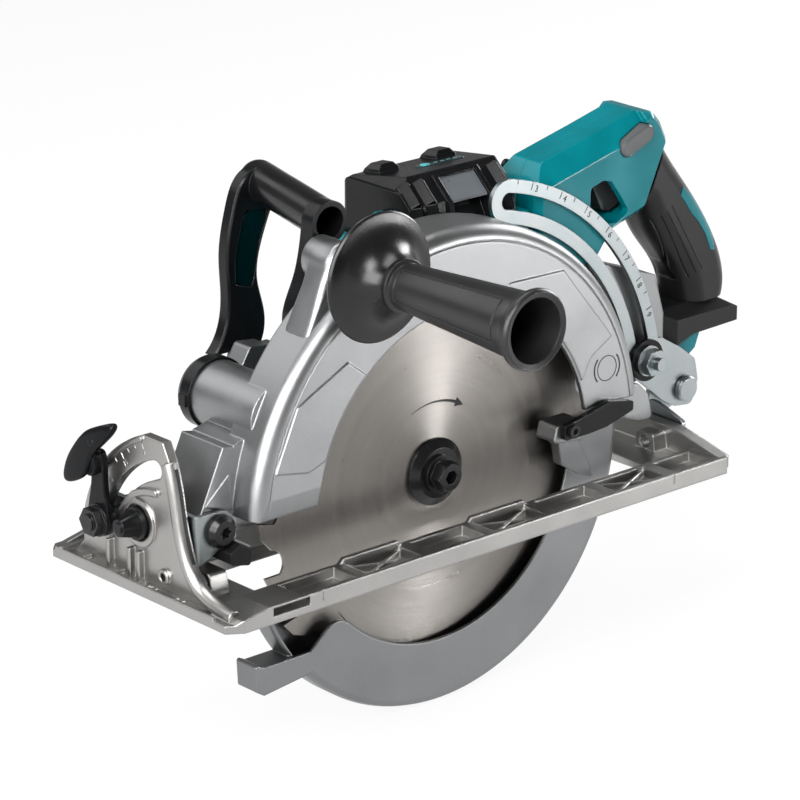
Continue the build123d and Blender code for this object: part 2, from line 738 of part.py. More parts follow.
def battery_pack():
    """Slide pack standing on end: bevelled near side, ridged corners, two bumps and the contacts' recess."""
    x0, x1, y0, y1, z0, z1 = battery_x0, battery_x1, battery_y0, battery_y1, battery_z0, battery_z1
    side = poly((y0 + 4, z0), (y1, z0), (y1, z1 - 11), (y1 - 6, z1 - 5), (y0 + 20, z1), (y0 + 5, z1 - 14),
                (y0, z1 - 34),
                (y0, z0 + 3))
    body = slab_x(side, x0, x1)
    body = fillet(body.edges().filter_by(Axis.X).group_by(Axis.Z)[-1], 2.5)
    body = fillet(body.edges().filter_by(Axis.Z).group_by(Axis.Y)[-1], 5)
    crest = z1 - 4 + bump_h
    bump = poly((y0 + 42, z1 - 9), (y1 - 2.5, z1 - 16), (y1 - 2.5, z1 - 8), (y1 - 8, crest),
                (y0 + 47, crest + 1))
    bump = slab_x(bump, x0 + 13, x0 + 28)
    bump = chamfer(bump.faces().filter_by(Axis.X).edges().group_by(Axis.Z)[-1], 3)
    body = body + bump + bump.translate((x1 - x0 - 36, 0, 0))
    shoulder = slab(poly((x0 - 1, z1 - 7), (x0 + 2, z1 - 6), (x0 + 13, z1 + 1), (x0 - 1, z1 + 1)), y0 - 1,
                    y1 + 1)
    body = body - shoulder
    low = holder_top + 1.5
    foot = y0 + (low - z1 + 34) / 4
    ridge = poly((-ridge_w / 2, 3), (-ridge_w / 2, 0.5), (0, -flute_h), (ridge_w / 2, 0.5), (ridge_w / 2, 3))
    for x in (x0 + 6, x0 + 17, x1 - 6):
        body = body + Pos(x, foot, low) * Rot(-degrees(atan2(5, 20)), 0, 0) * slab_z(ridge, 0, 14)
        body = body + Pos(x, y0 + 5, z1 - 14) * Rot(-degrees(atan2(15, 14)), 0, 0) * slab_z(ridge, 0, 16)
    rim = poly((y0 - 1, low), (y0 + 3.2, z1 - 14.6), (y0 + 17, z1 - 1.6), (y0 + 22, z1 - 4), (y0 + 12, low))
    body = body + slab_x(rim, button_x - button_w / 2 - rim_w, button_x + button_w / 2 + rim_w)
    x_mid, y_mid = (x0 + x1) / 2, (y0 + y1) / 2
    contacts = box(x_mid - 20, x_mid + 20, y_mid - 10, y_mid + 10, z0 - 1, z0 + 12)
    return body - contacts - button_space(free_gap)


def button_space(gap):
    """Room of the release button in the pack's upper bevel, open below it for the thumb."""
    y0, z1 = battery_y0, battery_z1
    face = poly((y0 - 3, z1 - 30), (y0 + 6, z1 - 30), (y0 + 13.2, z1 - 16.4), (y0 + 25.4, z1 - 3.5 + gap),
                (y0 + 12, z1 - 3.5 + gap), (y0 - 3, z1 - 12))
    return slab_x(face, button_x - button_w / 2 - gap, button_x + button_w / 2 + gap)


def battery_button():
    """Release button: a plate lying in the bevel with a turned-in lower edge."""
    y0, z1 = battery_y0, battery_z1
    face = poly((y0 + 16.5, z1 - 3.5), (y0 + 4.5, z1 - 14.5), (y0 + 3.8, z1 - 16), (y0 + 10, z1 - 16),
                (y0 + 22, z1 - 3.5))
    return slab_x(face, button_x - button_w / 2, button_x + button_w / 2)


def terminal_block():
    """Contact carrier standing on the bay's floor, with its blades in a row."""
    x_mid = (battery_x0 + battery_x1) / 2
    y_mid = (battery_y0 + battery_y1) / 2
    z = battery_z0
    base = box(x_mid - 18, x_mid + 18, y_mid - 8, y_mid + 8, z, z + 4)
    for k in range(4):
        x = x_mid - 12.4 + 8 * k
        base += box(x - 0.6, x + 0.6, y_mid - 5, y_mid + 5, z + 4, z + 10)
    return base


def controller_board():
    """Board held by its edges between the two handle halves."""
    hold = handle_wall + 0.3
    return box(102, 140, handle_near + hold, handle_far - hold, 150, 152)


# Rear handle


def handle_outline():
    return poly((96, 108), (97, 176), (106, 190), (150, 200), (182, 208), (192, 207), (199, 199),
                (205, 187), (187, 148),
                (160, 140), (147, 124))


def trigger_window():
    return poly((138.5, 147), (139, 170), (149, 173), (156, 171), (163, 162), (171, 150), (161, 145))


def handle_body():
    """Both halves as one: the body with its faceted brow, finger window, switch bay and lock-off bore."""
    body = slab(rounded(handle_outline(), 6), handle_near, handle_far)
    body = chamfer(body.faces().filter_by(Axis.Y).edges(), handle_bevel)
    lean = degrees(atan2(18, 76))
    for y, side in ((handle_near, 1), (handle_far, -1)):
        wedge = poly((y - side, -1.6 * brow_bevel), (y + side * brow_bevel, 1), (y - side, 1))
        body = body - Pos(150, 0, 200.5) * Rot(0, -lean, 0) * slab_x(wedge, -60, 34)
    body = body - slab(rounded(trigger_window(), 2.5), handle_near - 1, handle_far + 1)
    near, far = handle_near + handle_wall, handle_far - handle_wall
    bay = poly((140, 177), (186, 195), (192, 184), (185, 153), (168, 146), (146, 168))
    body = body - slab(bay, near, far) - box(100, 142, near, far, 140, 176)
    for place in handle_screw_places():
        body = body - rod(place, 3.6, handle_far - 2, handle_far + 1)
    return body - slab(lock_outline(free_gap), handle_near - 1, handle_far + 1)


def lock_outline(gap):
    return Pos(176, 192.5) * Rot(0, 0, 22) * SlotOverall(27 + 2 * gap, 11 + 2 * gap)


def handle_near_half():
    return handle_body() & box(0, 400, handle_near - 1, handle_mid, 0, 400)


def handle_far_half():
    return handle_body() & box(0, 400, handle_mid, handle_far + 1, 0, 400)


def trigger():
    pad = rounded(poly((151, 168), (158, 169.8), (178, 160), (176, 152.5), (166, 148.5), (160, 150)), 2)
    return slab(pad, handle_mid - 8, handle_mid + 8)


def switch_unit():
    """Switch body clamped between the two handle halves."""
    hold = handle_wall + 0.3
    return slab(poly((156, 176), (180, 186), (184, 178), (166, 170)), handle_near + hold, handle_far - hold)


def lock_off_button():
    """Bar through both halves, pressed from either side, with a waist over the switch."""
    bar = slab(lock_outline(0), handle_near - 2.5, handle_far + 2.5)
    bar = chamfer(bar.faces().filter_by(Axis.Y).edges(), 1.2)
    waist = slab(poly((150, 150), (205, 150), (205, 188.5), (150, 186)), handle_mid - 9, handle_mid + 9)
    return bar - waist


def grip_stations():
    """Back and front points of the grip's sections, from the handle body down to the shelf."""
    return [((205, 187), (187, 148)), ((229, 155), (197, 131)), ((247, 130), (210, 113)),
            ((259, 107), (221, 98)),
            ((263, 92), (225, 88)), ((262, shelf_top), (227, shelf_top))]


def rear_grip():
    """Soft grip lofted through oval sections that follow the hand."""
    sections = []
    for back, front in grip_stations():
        mid = ((back[0] + front[0]) / 2, (back[1] + front[1]) / 2)
        along = (back[0] - front[0], back[1] - front[1])
        plane = Plane(origin=(mid[0], handle_mid, mid[1]), x_dir=(along[0], 0, along[1]),
                      z_dir=(along[1], 0, -along[0]))
        sections.append(plane * RectangleRounded(hypot(*along), 2 * grip_half, grip_half * 0.8))
    return loft(sections)


def handle_shelf():
    """Flared foot of the grip that guards the hand, bevelled all round its top."""
    side = poly((arm_rear, shelf_top), (252, shelf_top), (271, 68), (271, 61), (230, 60), (arm_rear, 52))
    near, far = handle_near + 1.5, handle_far + 4
    flare = slab(fillet([v for v in side.vertices() if v.X > 240], 1.5), near, far)
    plan = poly((arm_rear, near + 4), (arm_rear + 10, near), (268, near), (271, near + 3), (271, far - 9),
                (258, far), (arm_rear, far))
    slope = poly((near - 1, shelf_top - 9), (near + 7, shelf_top + 1), (near - 1, shelf_top + 1))
    return (flare & slab_z(rounded(plan, 2), 40, 90)) - slab_x(slope, arm_rear - 1, 280)


def handle_foot():
    """Lower end of the handle where it bolts to the arm."""
    x = arm_rear
    side = poly((x, 52), (230, 60), (238, 60), (234, 50), (x + 16, clamp_z - 13.5), (x, clamp_z - 13.5))
    return slab(side, arm_near, arm_far + 10)


# Side grip, arm and front handle


def grip_arm():
    """Cast arm that grows out of the case rim and ends in the grip's boss."""
    rim = case_r - 1
    web = poly(polar(AXIS, rim, 135.5), polar(AXIS, case_r + 10.5, 128.3), polar(AXIS, case_r + 17, 123.8),
               polar(GRIP, boss_r, 165), polar(GRIP, boss_r, -15), polar(AXIS, rim, 110))
    web = slab(rounded(web, 0.8), boss_near - 3, boss_far - 5)
    web = chamfer(web.faces().filter_by(Axis.Y).edges(), 0.7)
    body = slab(disc(GRIP, boss_r), boss_near, boss_far) + (web - rod(GRIP, boss_r - 1.5, boss_near - 4,
                                                                      boss_near))
    return body - rod(AXIS, case_r, boss_near - 4, boss_far + 1) - rod(GRIP, stud_r, boss_near - 4,
                                                                       boss_far + 1)


def side_grip():
    """Grip turned about its axis: collar, thin dished flange, barrel widening to a beaded hollow end."""
    y0, y1, rim = grip_flange_y, grip_end_y, grip_flange_r
    collar, neck, end = stud_r + 5, 13.0, 18.5
    bead = end + 4
    out = Polyline((stud_r, boss_near - 0.1), (collar, boss_near - 0.1), (collar, boss_near - 13),
                   (rim - 9, y0 + 8), (rim - 1, y0 + 2),
                   (rim, y0), (rim - 1, y0 - 1.2), (rim - 4, y0 - 1.6))
    dish = ThreePointArc((rim - 4, y0 - 1.6), (neck + 9, y0 - 6.5), (neck + 2, y0 - 18))
    step = Polyline((neck + 2, y0 - 18), (neck + 2, y0 - 21), (neck, y0 - 22), (end, y1 + 12),
                    (end + 1, y1 + 7))
    round_end = ThreePointArc((end + 1, y1 + 7), (bead, y1 + 3.5), (end + 2.4, y1))
    bore = Polyline((end + 2.4, y1), (end - 0.6, y1 + 1), (end - 2.5, y1 + 12), (neck - 3, y0 - 24),
                    (stud_r, y0 - 24),
                    (stud_r, boss_near - 0.1))
    body = turned(GRIP, make_face([*out.edges(), dish, *step.edges(), round_end, *bore.edges()]))
    near, far = y1 + 16, y0 - 26
    taper = (end - neck) / (y0 - 22 - (y1 + 12))

    def wall(y):
        return neck + (y0 - 22 - y) * taper - seam_d

    cut = poly((wall(far), far), (wall(far) + 3, far), (wall(near) + 3, near), (wall(near), near))
    for k in range(3):
        for side in (-panel_half_deg, panel_half_deg):
            body = body - turned(GRIP, cut, panel_deg + 120 * k + side, seam_deg)
    for y in (near, far):
        lane = poly((wall(y), y - seam_d), (wall(y) + 3, y - seam_d), (wall(y) + 3, y + seam_d),
                    (wall(y), y + seam_d))
        for k in range(3):
            start = panel_deg + 120 * k - panel_half_deg
            body = body - turned(GRIP, lane, start, 2 * panel_half_deg + seam_deg)
    return body


def side_grip_stud():
    return rod(GRIP, stud_r, grip_flange_y - 22, boss_far - 1)


def bar_ends():
    """Near and far ends of the front handle's bar, which runs level and a little across the saw."""
    return (GRIP[0] + 11.5, boss_far + 8, GRIP[1] + 17), (ROTOR[0] + 10, motor_far + 4, GRIP[1] + 17)


def front_handle():
    """Open tube: its near end in a collar on a slim leg, its far end rounded into a broad curved leg."""
    near, far = bar_ends()
    run = (far[0] - near[0], far[1] - near[1], 0)
    plane = Plane(origin=near, z_dir=run)
    length = hypot(run[0], run[1])
    tube = extrude(plane * Circle(tube_r), amount=length)
    mouth = plane.offset(-15)
    bore = extrude(mouth * Circle(tube_r - tube_wall), amount=length + 5)
    x, z = near[0] - 2, near[2]
    foot = polar(AXIS, case_r - 12, 133)
    front = Spline((x - tube_r - 1, z + 1), (x - 14.5, z - 14), (x - 19, z - 30), (x - 26, z - 46),
                   (foot[0] + 1, foot[1]))
    back = Spline((foot[0] + 9, foot[1]), (x - 17, z - 42), (x - 9, z - 25), (x + 3, z - 9))
    top = Line((x + 3, z - 9), (x - tube_r - 1, z + 1))
    slim = make_face([front, Line((foot[0] + 1, foot[1]), (foot[0] + 9, foot[1])), back, top])
    collar = disc((x, z), tube_r + 1) + slim
    slim = slab(collar, case_far, case_far + 10)
    x, z, low = far[0], far[2], motor_foot_z()
    front = Spline((x - 6, z + tube_r - 1), (x - 19, z + 4), (x - 26, z - 12), (x - 31, z - 40),
                   (x - 30, z - 64), (x - 33, z - 82),
                   (x - 42, low))
    back = Spline((x - 6, low), (x - 4, z - 72), (x - 8, z - 56), (x - 3, z - 30), (x + 6, z - 9))
    broad = make_face([front, Line((x - 42, low), (x - 6, low)), back,
                       Line((x + 6, z - 9), (x - 6, z + tube_r - 1))])
    broad = slab(broad, far[1] - leg_t + 1, far[1] + 1)
    broad = chamfer(broad.faces().filter_by(Axis.Y).edges().filter_by(GeomType.BSPLINE), leg_bevel)
    panel = poly((x - 18, z - 13), (x - 25, z - 40), (x - 25, z - 56), (x - 13, z - 60), (x - 11, z - 54),
                 (x - 7, z - 34), (x + 1, z - 15))
    broad = broad - slab(rounded(panel, 2), far[1] - leg_t, far[1] - leg_t + 1 + panel_d)
    return tube + Pos(*far) * Sphere(tube_r) + slim + broad - bore


# Depth linkage


def ear_span():
    """The two ears' spans across the saw, on either side of the case's lug."""
    return (-sheet_t - 1, -1), (arm_far + 1, arm_far + 1 + sheet_t)


def front_bracket():
    """Sheet folded in a U: two round ears on the depth pivot, and a strap to the bevel bolt and pin."""
    x0 = quadrant_x + quadrant_t + sheet_gap
    x1 = x0 + sheet_t
    y, z = bevel_bolt_place()
    strap = poly((0, bevel_z - 10), (9, bevel_z - 3), (y, z - 13), (y + 12, z - 4), (y + 10, z + 10),
                 (y - 8, z + 10),
                 (y - 22, 25), (0, 25))
    strap = slab_x(strap + Pos(0, bevel_z) * Circle(10), x0, x1)
    (near, near_in), (far_in, far) = ear_span()
    end = pivot_x + ear_r + 1
    outer = slab_z(poly((x0, near), (end, near), (end, far), (x0, far)), pivot_z - 40, pivot_z + 40)
    outer = fillet(outer.edges().filter_by(Axis.Z).group_by(Axis.X)[0], sheet_t + 1)
    inner = box(x1, end + 1, near_in, far_in, pivot_z - 41, pivot_z + 41)
    ear = disc(PIVOT, ear_r) + poly((x0, pivot_z - ear_r - 8), (pivot_x, pivot_z - ear_r),
                                    (pivot_x, pivot_z + ear_r),
                                    (x0, pivot_z + ear_r))
    fold = (outer - inner) & slab(ear, near - 1, far + 1)
    body = strap + fold - rod(PIVOT, pivot_r, near - 1, far + 1)
    return body - rod_x(y, z, bevel_bolt_r, x0 - 1, x1 + 1) - rod_x(0, bevel_z, pivot_pin_r, x0 - 1, x1 + 1)


def bevel_bolt_place():
    return (bevel_slot_r * cos(radians(bevel_rest_deg)),
            bevel_z + bevel_slot_r * sin(radians(bevel_rest_deg)))


def depth_pivot_bolt():
    """Button head bolt with a star socket, through both ears and the case lug, and its nut."""
    y0, y1 = ear_span()[0][0], ear_span()[1][1]
    head_r = pivot_r + 4.5
    head = turned(PIVOT, poly((0, y0), (head_r, y0), (head_r, y0 - 2.5), (head_r - 2.5, y0 - 5.5),
                              (0, y0 - 5.5)))
    star = RegularPolygon(4.4, 3) + Rot(0, 0, 60) * RegularPolygon(4.4, 3)
    nut = slab(Pos(*PIVOT) * RegularPolygon(pivot_r + 4, 6), y1, y1 + 6)
    return rod(PIVOT, pivot_r, y0, y1) + head - slab(Pos(*PIVOT) * star, y0 - 6, y0 - 2.5) + nut


def rear_bracket():
    """Folded plate behind the shoe's rear edge with the ear that holds the guide pin."""
    x0, x1 = shoe_rear + sheet_gap, shoe_rear + sheet_gap + sheet_t
    y1 = guide_far + 0.5
    x, z = GUIDE
    back = poly((-12, 0), (8, 0), (y1 + sheet_t, 14), (y1 + sheet_t, z - 2.5), (y1 - 6, z - 2.5), (-12, 20))
    back = slab_x(rounded(back, 2.5), x0, x1)
    ear = disc(GUIDE, 9) + poly((x0, 13), (x + 3, z - 8.4), (x, z + 9), (x0, z + 8))
    body = back + slab(ear, y1, y1 + sheet_t)
    return body - rod(GUIDE, guide_pin_r, y1 - 1, y1 + sheet_t + 1) - rod_x(0, bevel_z, pivot_pin_r,
                                                                            x0 - 1, x1 + 1)


def guide_pin():
    """Shouldered pin that the depth guide turns on."""
    y0, y1 = guide_near - free_gap, guide_far + 0.5 + sheet_t
    head = turned(GUIDE, poly((0, y0), (guide_pin_r + 3, y0), (guide_pin_r + 3, y0 - 3),
                              (guide_pin_r + 2, y0 - 4), (0, y0 - 4)))
    return rod(GUIDE, guide_pin_r, y0, y1 + 2) + head


def slot_point(tip_deg):
    """Where the clamp lies in the guide when the saw has tipped by an angle."""
    moved = turn(CLAMP, PIVOT, tip_deg)
    return turn(moved, GUIDE, guide_ratio * tip_deg)


def guide_arc(first, last):
    return ThreePointArc(slot_point(first), slot_point((first + last) / 2), slot_point(last))


def depth_guide():
    """Curved plate slotted along the clamp's path, with a foot that hangs on the guide pin."""
    band = SlotArc(guide_arc(0, depth_max_deg + 4), guide_w)
    slot = SlotArc(guide_arc(-0.6, depth_max_deg + 4), guide_slot_w)
    x, z = CLAMP
    gx, gz = GUIDE
    foot = poly((x - 9, z - 9), (x + 12, z + 12), (gx - 4, gz + 27), (gx + 9, gz + 17), (gx + 12, gz + 3),
                (gx + 7, gz - 12),
                (gx - 8, gz - 10), (gx - 18, gz - 4))
    plate = band + rounded(foot, 5) - slot - disc(GUIDE, guide_pin_r + run_fit)
    return slab(plate, guide_near, guide_far)


def clamp_washer():
    """Span of the black washer on the near side of the guide."""
    return guide_near - free_gap - 2.5, guide_near - free_gap


def depth_clamp_bolt():
    """Clamp stud with a flanged nut on the near side of the guide."""
    y = clamp_washer()[0]
    stud = rod(CLAMP, clamp_r, y - 12.5, arm_far + 4)
    flange = ring(CLAMP, clamp_r + 5.5, clamp_r, y - 1.5, y)
    nut = slab(Pos(*CLAMP) * RegularPolygon(clamp_r + 4.5, 6) - disc(CLAMP, clamp_r), y - 7.5, y - 1.5)
    return stud + flange + nut


def guide_spacer():
    """Black washer before the guide, and the bush behind it on the same stud."""
    bush = ring(CLAMP, clamp_r + 5, clamp_r, guide_far + free_gap, arm_near)
    return ring(CLAMP, clamp_r + 9, clamp_r, *clamp_washer()) + bush


def depth_lever():
    """Clamp lever on the far side of the arm."""
    hub = ring(CLAMP, clamp_r + 6, clamp_r + run_fit, arm_far + 0.4, arm_far + 12)
    x, z = CLAMP
    end = (x - 58, z + 6)
    arm = poly((x, z - 7), (x, z + 8), (end[0], end[1] + 7), (end[0] - 5, end[1]), (end[0], end[1] - 6))
    arm = slab(rounded(arm, 2.5), arm_far + 4, arm_far + 11)
    return hub + arm - rod(CLAMP, clamp_r + run_fit, arm_far, arm_far + 13)


# Shoe, quadrant and bevel clamp


def shoe_plan():
    """Outline of the sole, with its corners cut."""
    x0, x1, y0, y1 = shoe_front, shoe_rear, shoe_near, shoe_far
    return poly((x0, y0 + 6), (x0 + 9, y0), (x1 - 3, y0), (x1, y0 + 3), (x1, y1 - 6), (x1 - 6, y1),
                (x0 + 6, y1), (x0, y1 - 6))


def rail_block():
    """Near rail before its pockets are cut, rising from the front corner."""
    x0, x1 = shoe_front, shoe_rear
    side = poly((x0 + 3, shoe_t - 1), (x0 + 8, shoe_t + 2.5), (x0 + 26, rail_h), (x1, rail_h),
                (x1, shoe_t - 1))
    return slab(side, shoe_near, slot_near) & slab_z(shoe_plan(), 0, rail_h)


def near_rail():
    """Rail with a row of pockets, every other one braced by a cross."""
    rail = rail_block()
    near, far = shoe_near + wall_t, slot_near - wall_t
    first = shoe_front + 50
    pitch = pocket_len + pocket_gap
    count = int((shoe_rear - wall_t - first) // pitch)
    rail = rail - box(first + count * pitch, shoe_rear - 14, near, far, tray_t, rail_h + 1)
    for k in range(count):
        x = first + k * pitch
        rail = rail - box(x, x + pocket_len, near, far, tray_t, rail_h + 1)
        if k % 2:
            mid = ((2 * x + pocket_len) / 2, (near + far) / 2)
            spread = degrees(atan2(far - near, pocket_len))
            bar = Rectangle(hypot(pocket_len, far - near), 1.8)
            cross = Pos(*mid) * (Rot(0, 0, spread) * bar + Rot(0, 0, -spread) * bar)
            cross = slab_z(cross, tray_t - 0.2, rail_h - 2) & box(x - 0.3, x + pocket_len + 0.3,
                                                                  near - 0.3, far + 0.3, 0, rail_h)
            rail = rail + cross
        if k in (1, 3):
            rail = rail + raised_wall(x - pocket_gap / 2, x + pocket_len + pocket_gap / 2)
    for x in (fence_front() + fence_w + 9, shoe_rear - 48):
        rail = rail - box(x, x + joint_line, shoe_near - 1, shoe_near + joint_line, -1, rail_h + 1)
    return rail


def raised_wall(x0, x1):
    """Higher stretch of the rail's slot side, over a braced pocket, with sloping ends."""
    low, high = rail_h - 1, rail_h + rail_step
    side = poly((x0, low), (x1, low), (x1 - 1, rail_h), (x1 - 4, high), (x0 + 4, high), (x0 + 1, rail_h))
    return slab(side, slot_near - wall_t, slot_near)


def shoe_ribs():
    """Low walls round the slot, along the far edge and across the far side, and the front tray's lip."""
    x0, x1, far = shoe_front, shoe_rear, shoe_far
    edge = slab(poly((x0 + 6, shoe_t - 1), (x0 + 34, rail_h - 1), (x1 - 8, rail_h - 1),
                     (x1 - 8, shoe_t - 1)), far - wall_t - 1, far)
    ribs = edge + box(slot_front - 6, slot_rear + 6, slot_far, slot_far + wall_t, tray_t, rail_h - 2)
    ribs += box(x0, x0 + 2, shoe_near + 16, far - 8, tray_t, shoe_t + 2)
    ribs += box(x0 + 1, quadrant_x + 36, far - 13, far - 10.6, tray_t, shoe_t + 2.5)
    for y in (far - 30, far - 60):
        ribs += box(x0 + 1, quadrant_x - free_gap, y - 1.2, y + 1.2, tray_t, shoe_t + 2)
    pitch = (slot_rear - slot_front) / 4
    for k in range(4):
        x = slot_front + pitch * (k + 0.5)
        ribs += box(x - 2, x + 2, slot_far + wall_t - 1, far - wall_t, tray_t, shoe_t + 3)
    return ribs & slab_z(shoe_plan(), 0, rail_h)


def shoe():
    """Cast sole plate: pocketed near rail, stiffening ribs, blade slot, fence way and pivot bosses."""
    rear = poly((shoe_near + 2, tray_t), (shoe_far - 8, tray_t), (shoe_far - 8, rail_h),
                (14, bevel_z + 10), (-14, bevel_z + 10),
                (shoe_near + 2, rail_h))
    rear = slab_x(rear, shoe_rear - 8, shoe_rear)
    inside = quadrant_x + quadrant_t
    boss = poly((-13, 2), (13, 2), (9, bevel_z + 8), (-9, bevel_z + 8))
    boss = slab_x(rounded(boss, 2), inside + 6, inside + 18)
    tail = poly((-9, 2), (9, 2), (7, bevel_z + 6), (-7, bevel_z + 6))
    boss = boss + slab_x(rounded(tail, 2), shoe_rear - 18, shoe_rear - 7)
    body = slab_z(shoe_plan(), 0, shoe_t) + near_rail() + shoe_ribs() + rear + boss
    body = body - box(slot_front, slot_rear, slot_near, slot_far, -1, rail_h + 1)
    body = body - box(inside, inside + 6, -14, 14, -1, rail_h + 20)
    for x0, x1 in ((quadrant_x, quadrant_x + 60), (shoe_rear - 20, shoe_rear + 5)):
        body = body - rod_x(0, bevel_z, pivot_pin_r + run_fit, x0, x1)
    fence = box(fence_front(), fence_front() + fence_w, shoe_near - 1, slot_near + 1, shoe_t,
                shoe_t + fence_h)
    return body - fence


def fence_front():
    return shoe_front + 29


def near_edge():
    """Swept near edge of the quadrant, in (y, z), from the sole's near corner to the top."""
    return [(-46.0, shoe_t + 1.5), (-27.0, bevel_z), (-13.0, bevel_z + 7.5), (-4.5, bevel_z + 21),
            (1.5, bevel_z + 43),
            (8.5, bevel_z + 71)]


def quadrant_outline():
    """Upright sector about the bevel axis with its swept near edge."""
    edge = Spline(*near_edge())
    foot, top = near_edge()[0], near_edge()[-1]
    high = quadrant_r - 6
    arc = ThreePointArc((32, bevel_z + high), polar((0, bevel_z), quadrant_r, 45),
                        (quadrant_r, bevel_z + 4))
    brow = Polyline(top, (14, bevel_z + high), (32, bevel_z + high))
    base = Polyline((quadrant_r, bevel_z + 4), (quadrant_r + 8, shoe_t), (foot[0], shoe_t), foot)
    return make_face([edge, *brow.edges(), arc, *base.edges()])


def bevel_quadrant():
    """Cast sector: curved slot, beaded near edge, lipped arc, raised ring, dial recess and ribs."""
    x0, x1 = quadrant_x, quadrant_x + quadrant_t
    plate = slab_x(quadrant_outline(), x0, x1)
    path = Plane(origin=(x0, 0, 0), x_dir=(0, 1, 0), z_dir=(1, 0, 0)) * Spline(*near_edge())
    bead = sweep(Plane(origin=path @ 0, z_dir=path % 0) * Circle(bead_r), path=path)
    bead = bead - box(x0 - 2 * bead_r, x1, shoe_near - 10, shoe_far, shoe_t - 20, shoe_t)
    lip = CenterArc((0, bevel_z), quadrant_r - 1.8, 8, 60)
    rim = slab_x(SlotArc(lip, 3), x0 - 2, x0)
    ring_mid = CenterArc((dial_y - 19, bevel_z + 3), quadrant_r - 39.5, 14, 72)
    rim += slab_x(SlotArc(ring_mid, 4), x0 - 2, x0)
    rim += rod_x(dial_y, dial_z, dial_r + 4.5, x0 - 1.5, x0) + rod_x(dial_y - 22, bevel_z + 3.3, 4.5,
                                                                     x0 - 2, x0)
    for y in (dial_y - 2, dial_y + 6, dial_y + 25):
        rim += box(x0 - 3.6, x0, y - 1.4, y + 1.4, shoe_t, bevel_z + 13)
    slot_mid = CenterArc((0, bevel_z), bevel_slot_r, bevel_rest_deg - 5, bevel_max_deg + 10)
    body = plate + bead + rim - slab_x(SlotArc(slot_mid, bevel_slot_w), x0 - 3, x1 + 1)
    body = body - rod_x(dial_y, dial_z, dial_r + 1, x0 - 5, x0 + 2.5) - rod_x(dial_y, dial_z,
                                                                              dial_pin_r + run_fit, x0,
                                                                              x1 + 1)
    return body - rod_x(dial_y - 22, bevel_z + 3.3, 2.4, x0 - 3, x1 + 1) - rail_block()


def stop_dial():
    """Positive stop knob: a ribbed cone on a disc, with its pin."""
    x0 = quadrant_x + 2.2
    base = rod_x(dial_y, dial_z, dial_r, x0 - 6, x0)
    cone = Pos(x0 - 6, dial_y, dial_z) * Rot(0, -90, 0) * Cone(8, 5, 11,
                                                               align=(Align.CENTER, Align.CENTER,
                                                                      Align.MIN))
    cap = rod_x(dial_y, dial_z, 3.4, x0 - 18, x0 - 16)
    return base + cone + cap + rod_x(dial_y, dial_z, dial_pin_r, x0, quadrant_x + quadrant_t + 0.6)


def bevel_clamp_bolt():
    """Bolt of the bevel clamp, with its nut before the lever."""
    y, z = bevel_bolt_place()
    x0 = quadrant_x
    back = quadrant_x + quadrant_t + sheet_gap + sheet_t
    stud = rod_x(y, z, bevel_bolt_r, x0 - 17, back + 3)
    head = slab_x(Pos(y, z) * RegularPolygon(bevel_bolt_r + 4, 6), back, back + 5)
    nut = slab_x(Pos(y, z) * RegularPolygon(bevel_bolt_r + 3.5, 6) - Pos(y, z) * Circle(bevel_bolt_r),
                 x0 - 15.5, x0 - 9)
    washer = slab_x(Pos(y, z) * (Circle(bevel_bolt_r + 4.5) - Circle(bevel_bolt_r)), x0 - 10, x0 - 9)
    return stud + head + nut + washer


def bevel_lever():
    """Clamp lever: hub on the bolt, a flat shank, and a curved paddle set forward of it."""
    y, z = bevel_bolt_place()
    x0 = quadrant_x
    hub = rod_x(y, z, bevel_bolt_r + 4.8, x0 - 8.6, x0 - 2.8)
    shank = poly((y - 9, z - 4), (y + 9, z - 2), (y + 9, z + 20), (y + 6, z + 40), (y - 4, z + 40),
                 (y - 2, z + 20), (y - 8, z + 12))
    shank = slab_x(rounded(shank, 2.5), x0 - 8.6, x0 - 4)
    paddle = poly((y + 15, z + 22), (y + 18.5, z + 26), (y + 15.6, z + 38), (y + 7, z + 51),
                  (y - 16.5, z + 61), (y - 19, z + 58),
                  (y - 14.5, z + 50), (y - 6.5, z + 42), (y - 4.4, z + 30), (y + 4, z + 24))
    paddle = slab_x(rounded(paddle, 1.5), x0 - 20, x0 - 8)
    dish = poly((y + 21, z + 20), (y + 21, z + 36), (y + 10, z + 54), (y - 20, z + 66), (y - 24, z + 60),
                (y - 8, z + 46), (y - 1, z + 22))
    front = Pos(x0 - 26, 0, 0) * Rot(0, 14, 0) * slab_x(dish.moved(Location((0, -z - 30))), -14, 6)
    paddle = paddle - Pos(0, 0, z + 30) * front
    neck = slab_x(rounded(poly((y - 4, z + 30), (y + 8, z + 28), (y + 7, z + 40), (y - 4, z + 40)), 1.5),
                  x0 - 10, x0 - 8)
    return hub + shank + paddle + neck - rod_x(y, z, bevel_bolt_r + run_fit, x0 - 20, x0 + 1)


def bevel_pins():
    """Pins that the two brackets turn on in the shoe."""
    front = quadrant_x + quadrant_t + sheet_gap
    rear = shoe_rear + sheet_gap + sheet_t
    return rod_x(0, bevel_z, pivot_pin_r, front, front + 14.5) + rod_x(0, bevel_z, pivot_pin_r,
                                                                       shoe_rear - 14, rear)


# Fasteners


def handle_screw_places():
    return [(108, 182), (108, 118), (190, 164)]


def handle_screws():
    """Pan head screws that close the two handle halves from the far side."""
    heads = [rod(place, 3.6, handle_far - 2, handle_far + 0.4) for place in handle_screw_places()]
    return heads[0] + heads[1] + heads[2]


def motor_screws():
    """Screws that hold the motor cap on its barrel."""
    heads = [rod(place, 3.1, motor_end - 4.2, motor_end - 1.4) for place in motor_screw_places()]
    return heads[0] + heads[1] + heads[2] + heads[3]


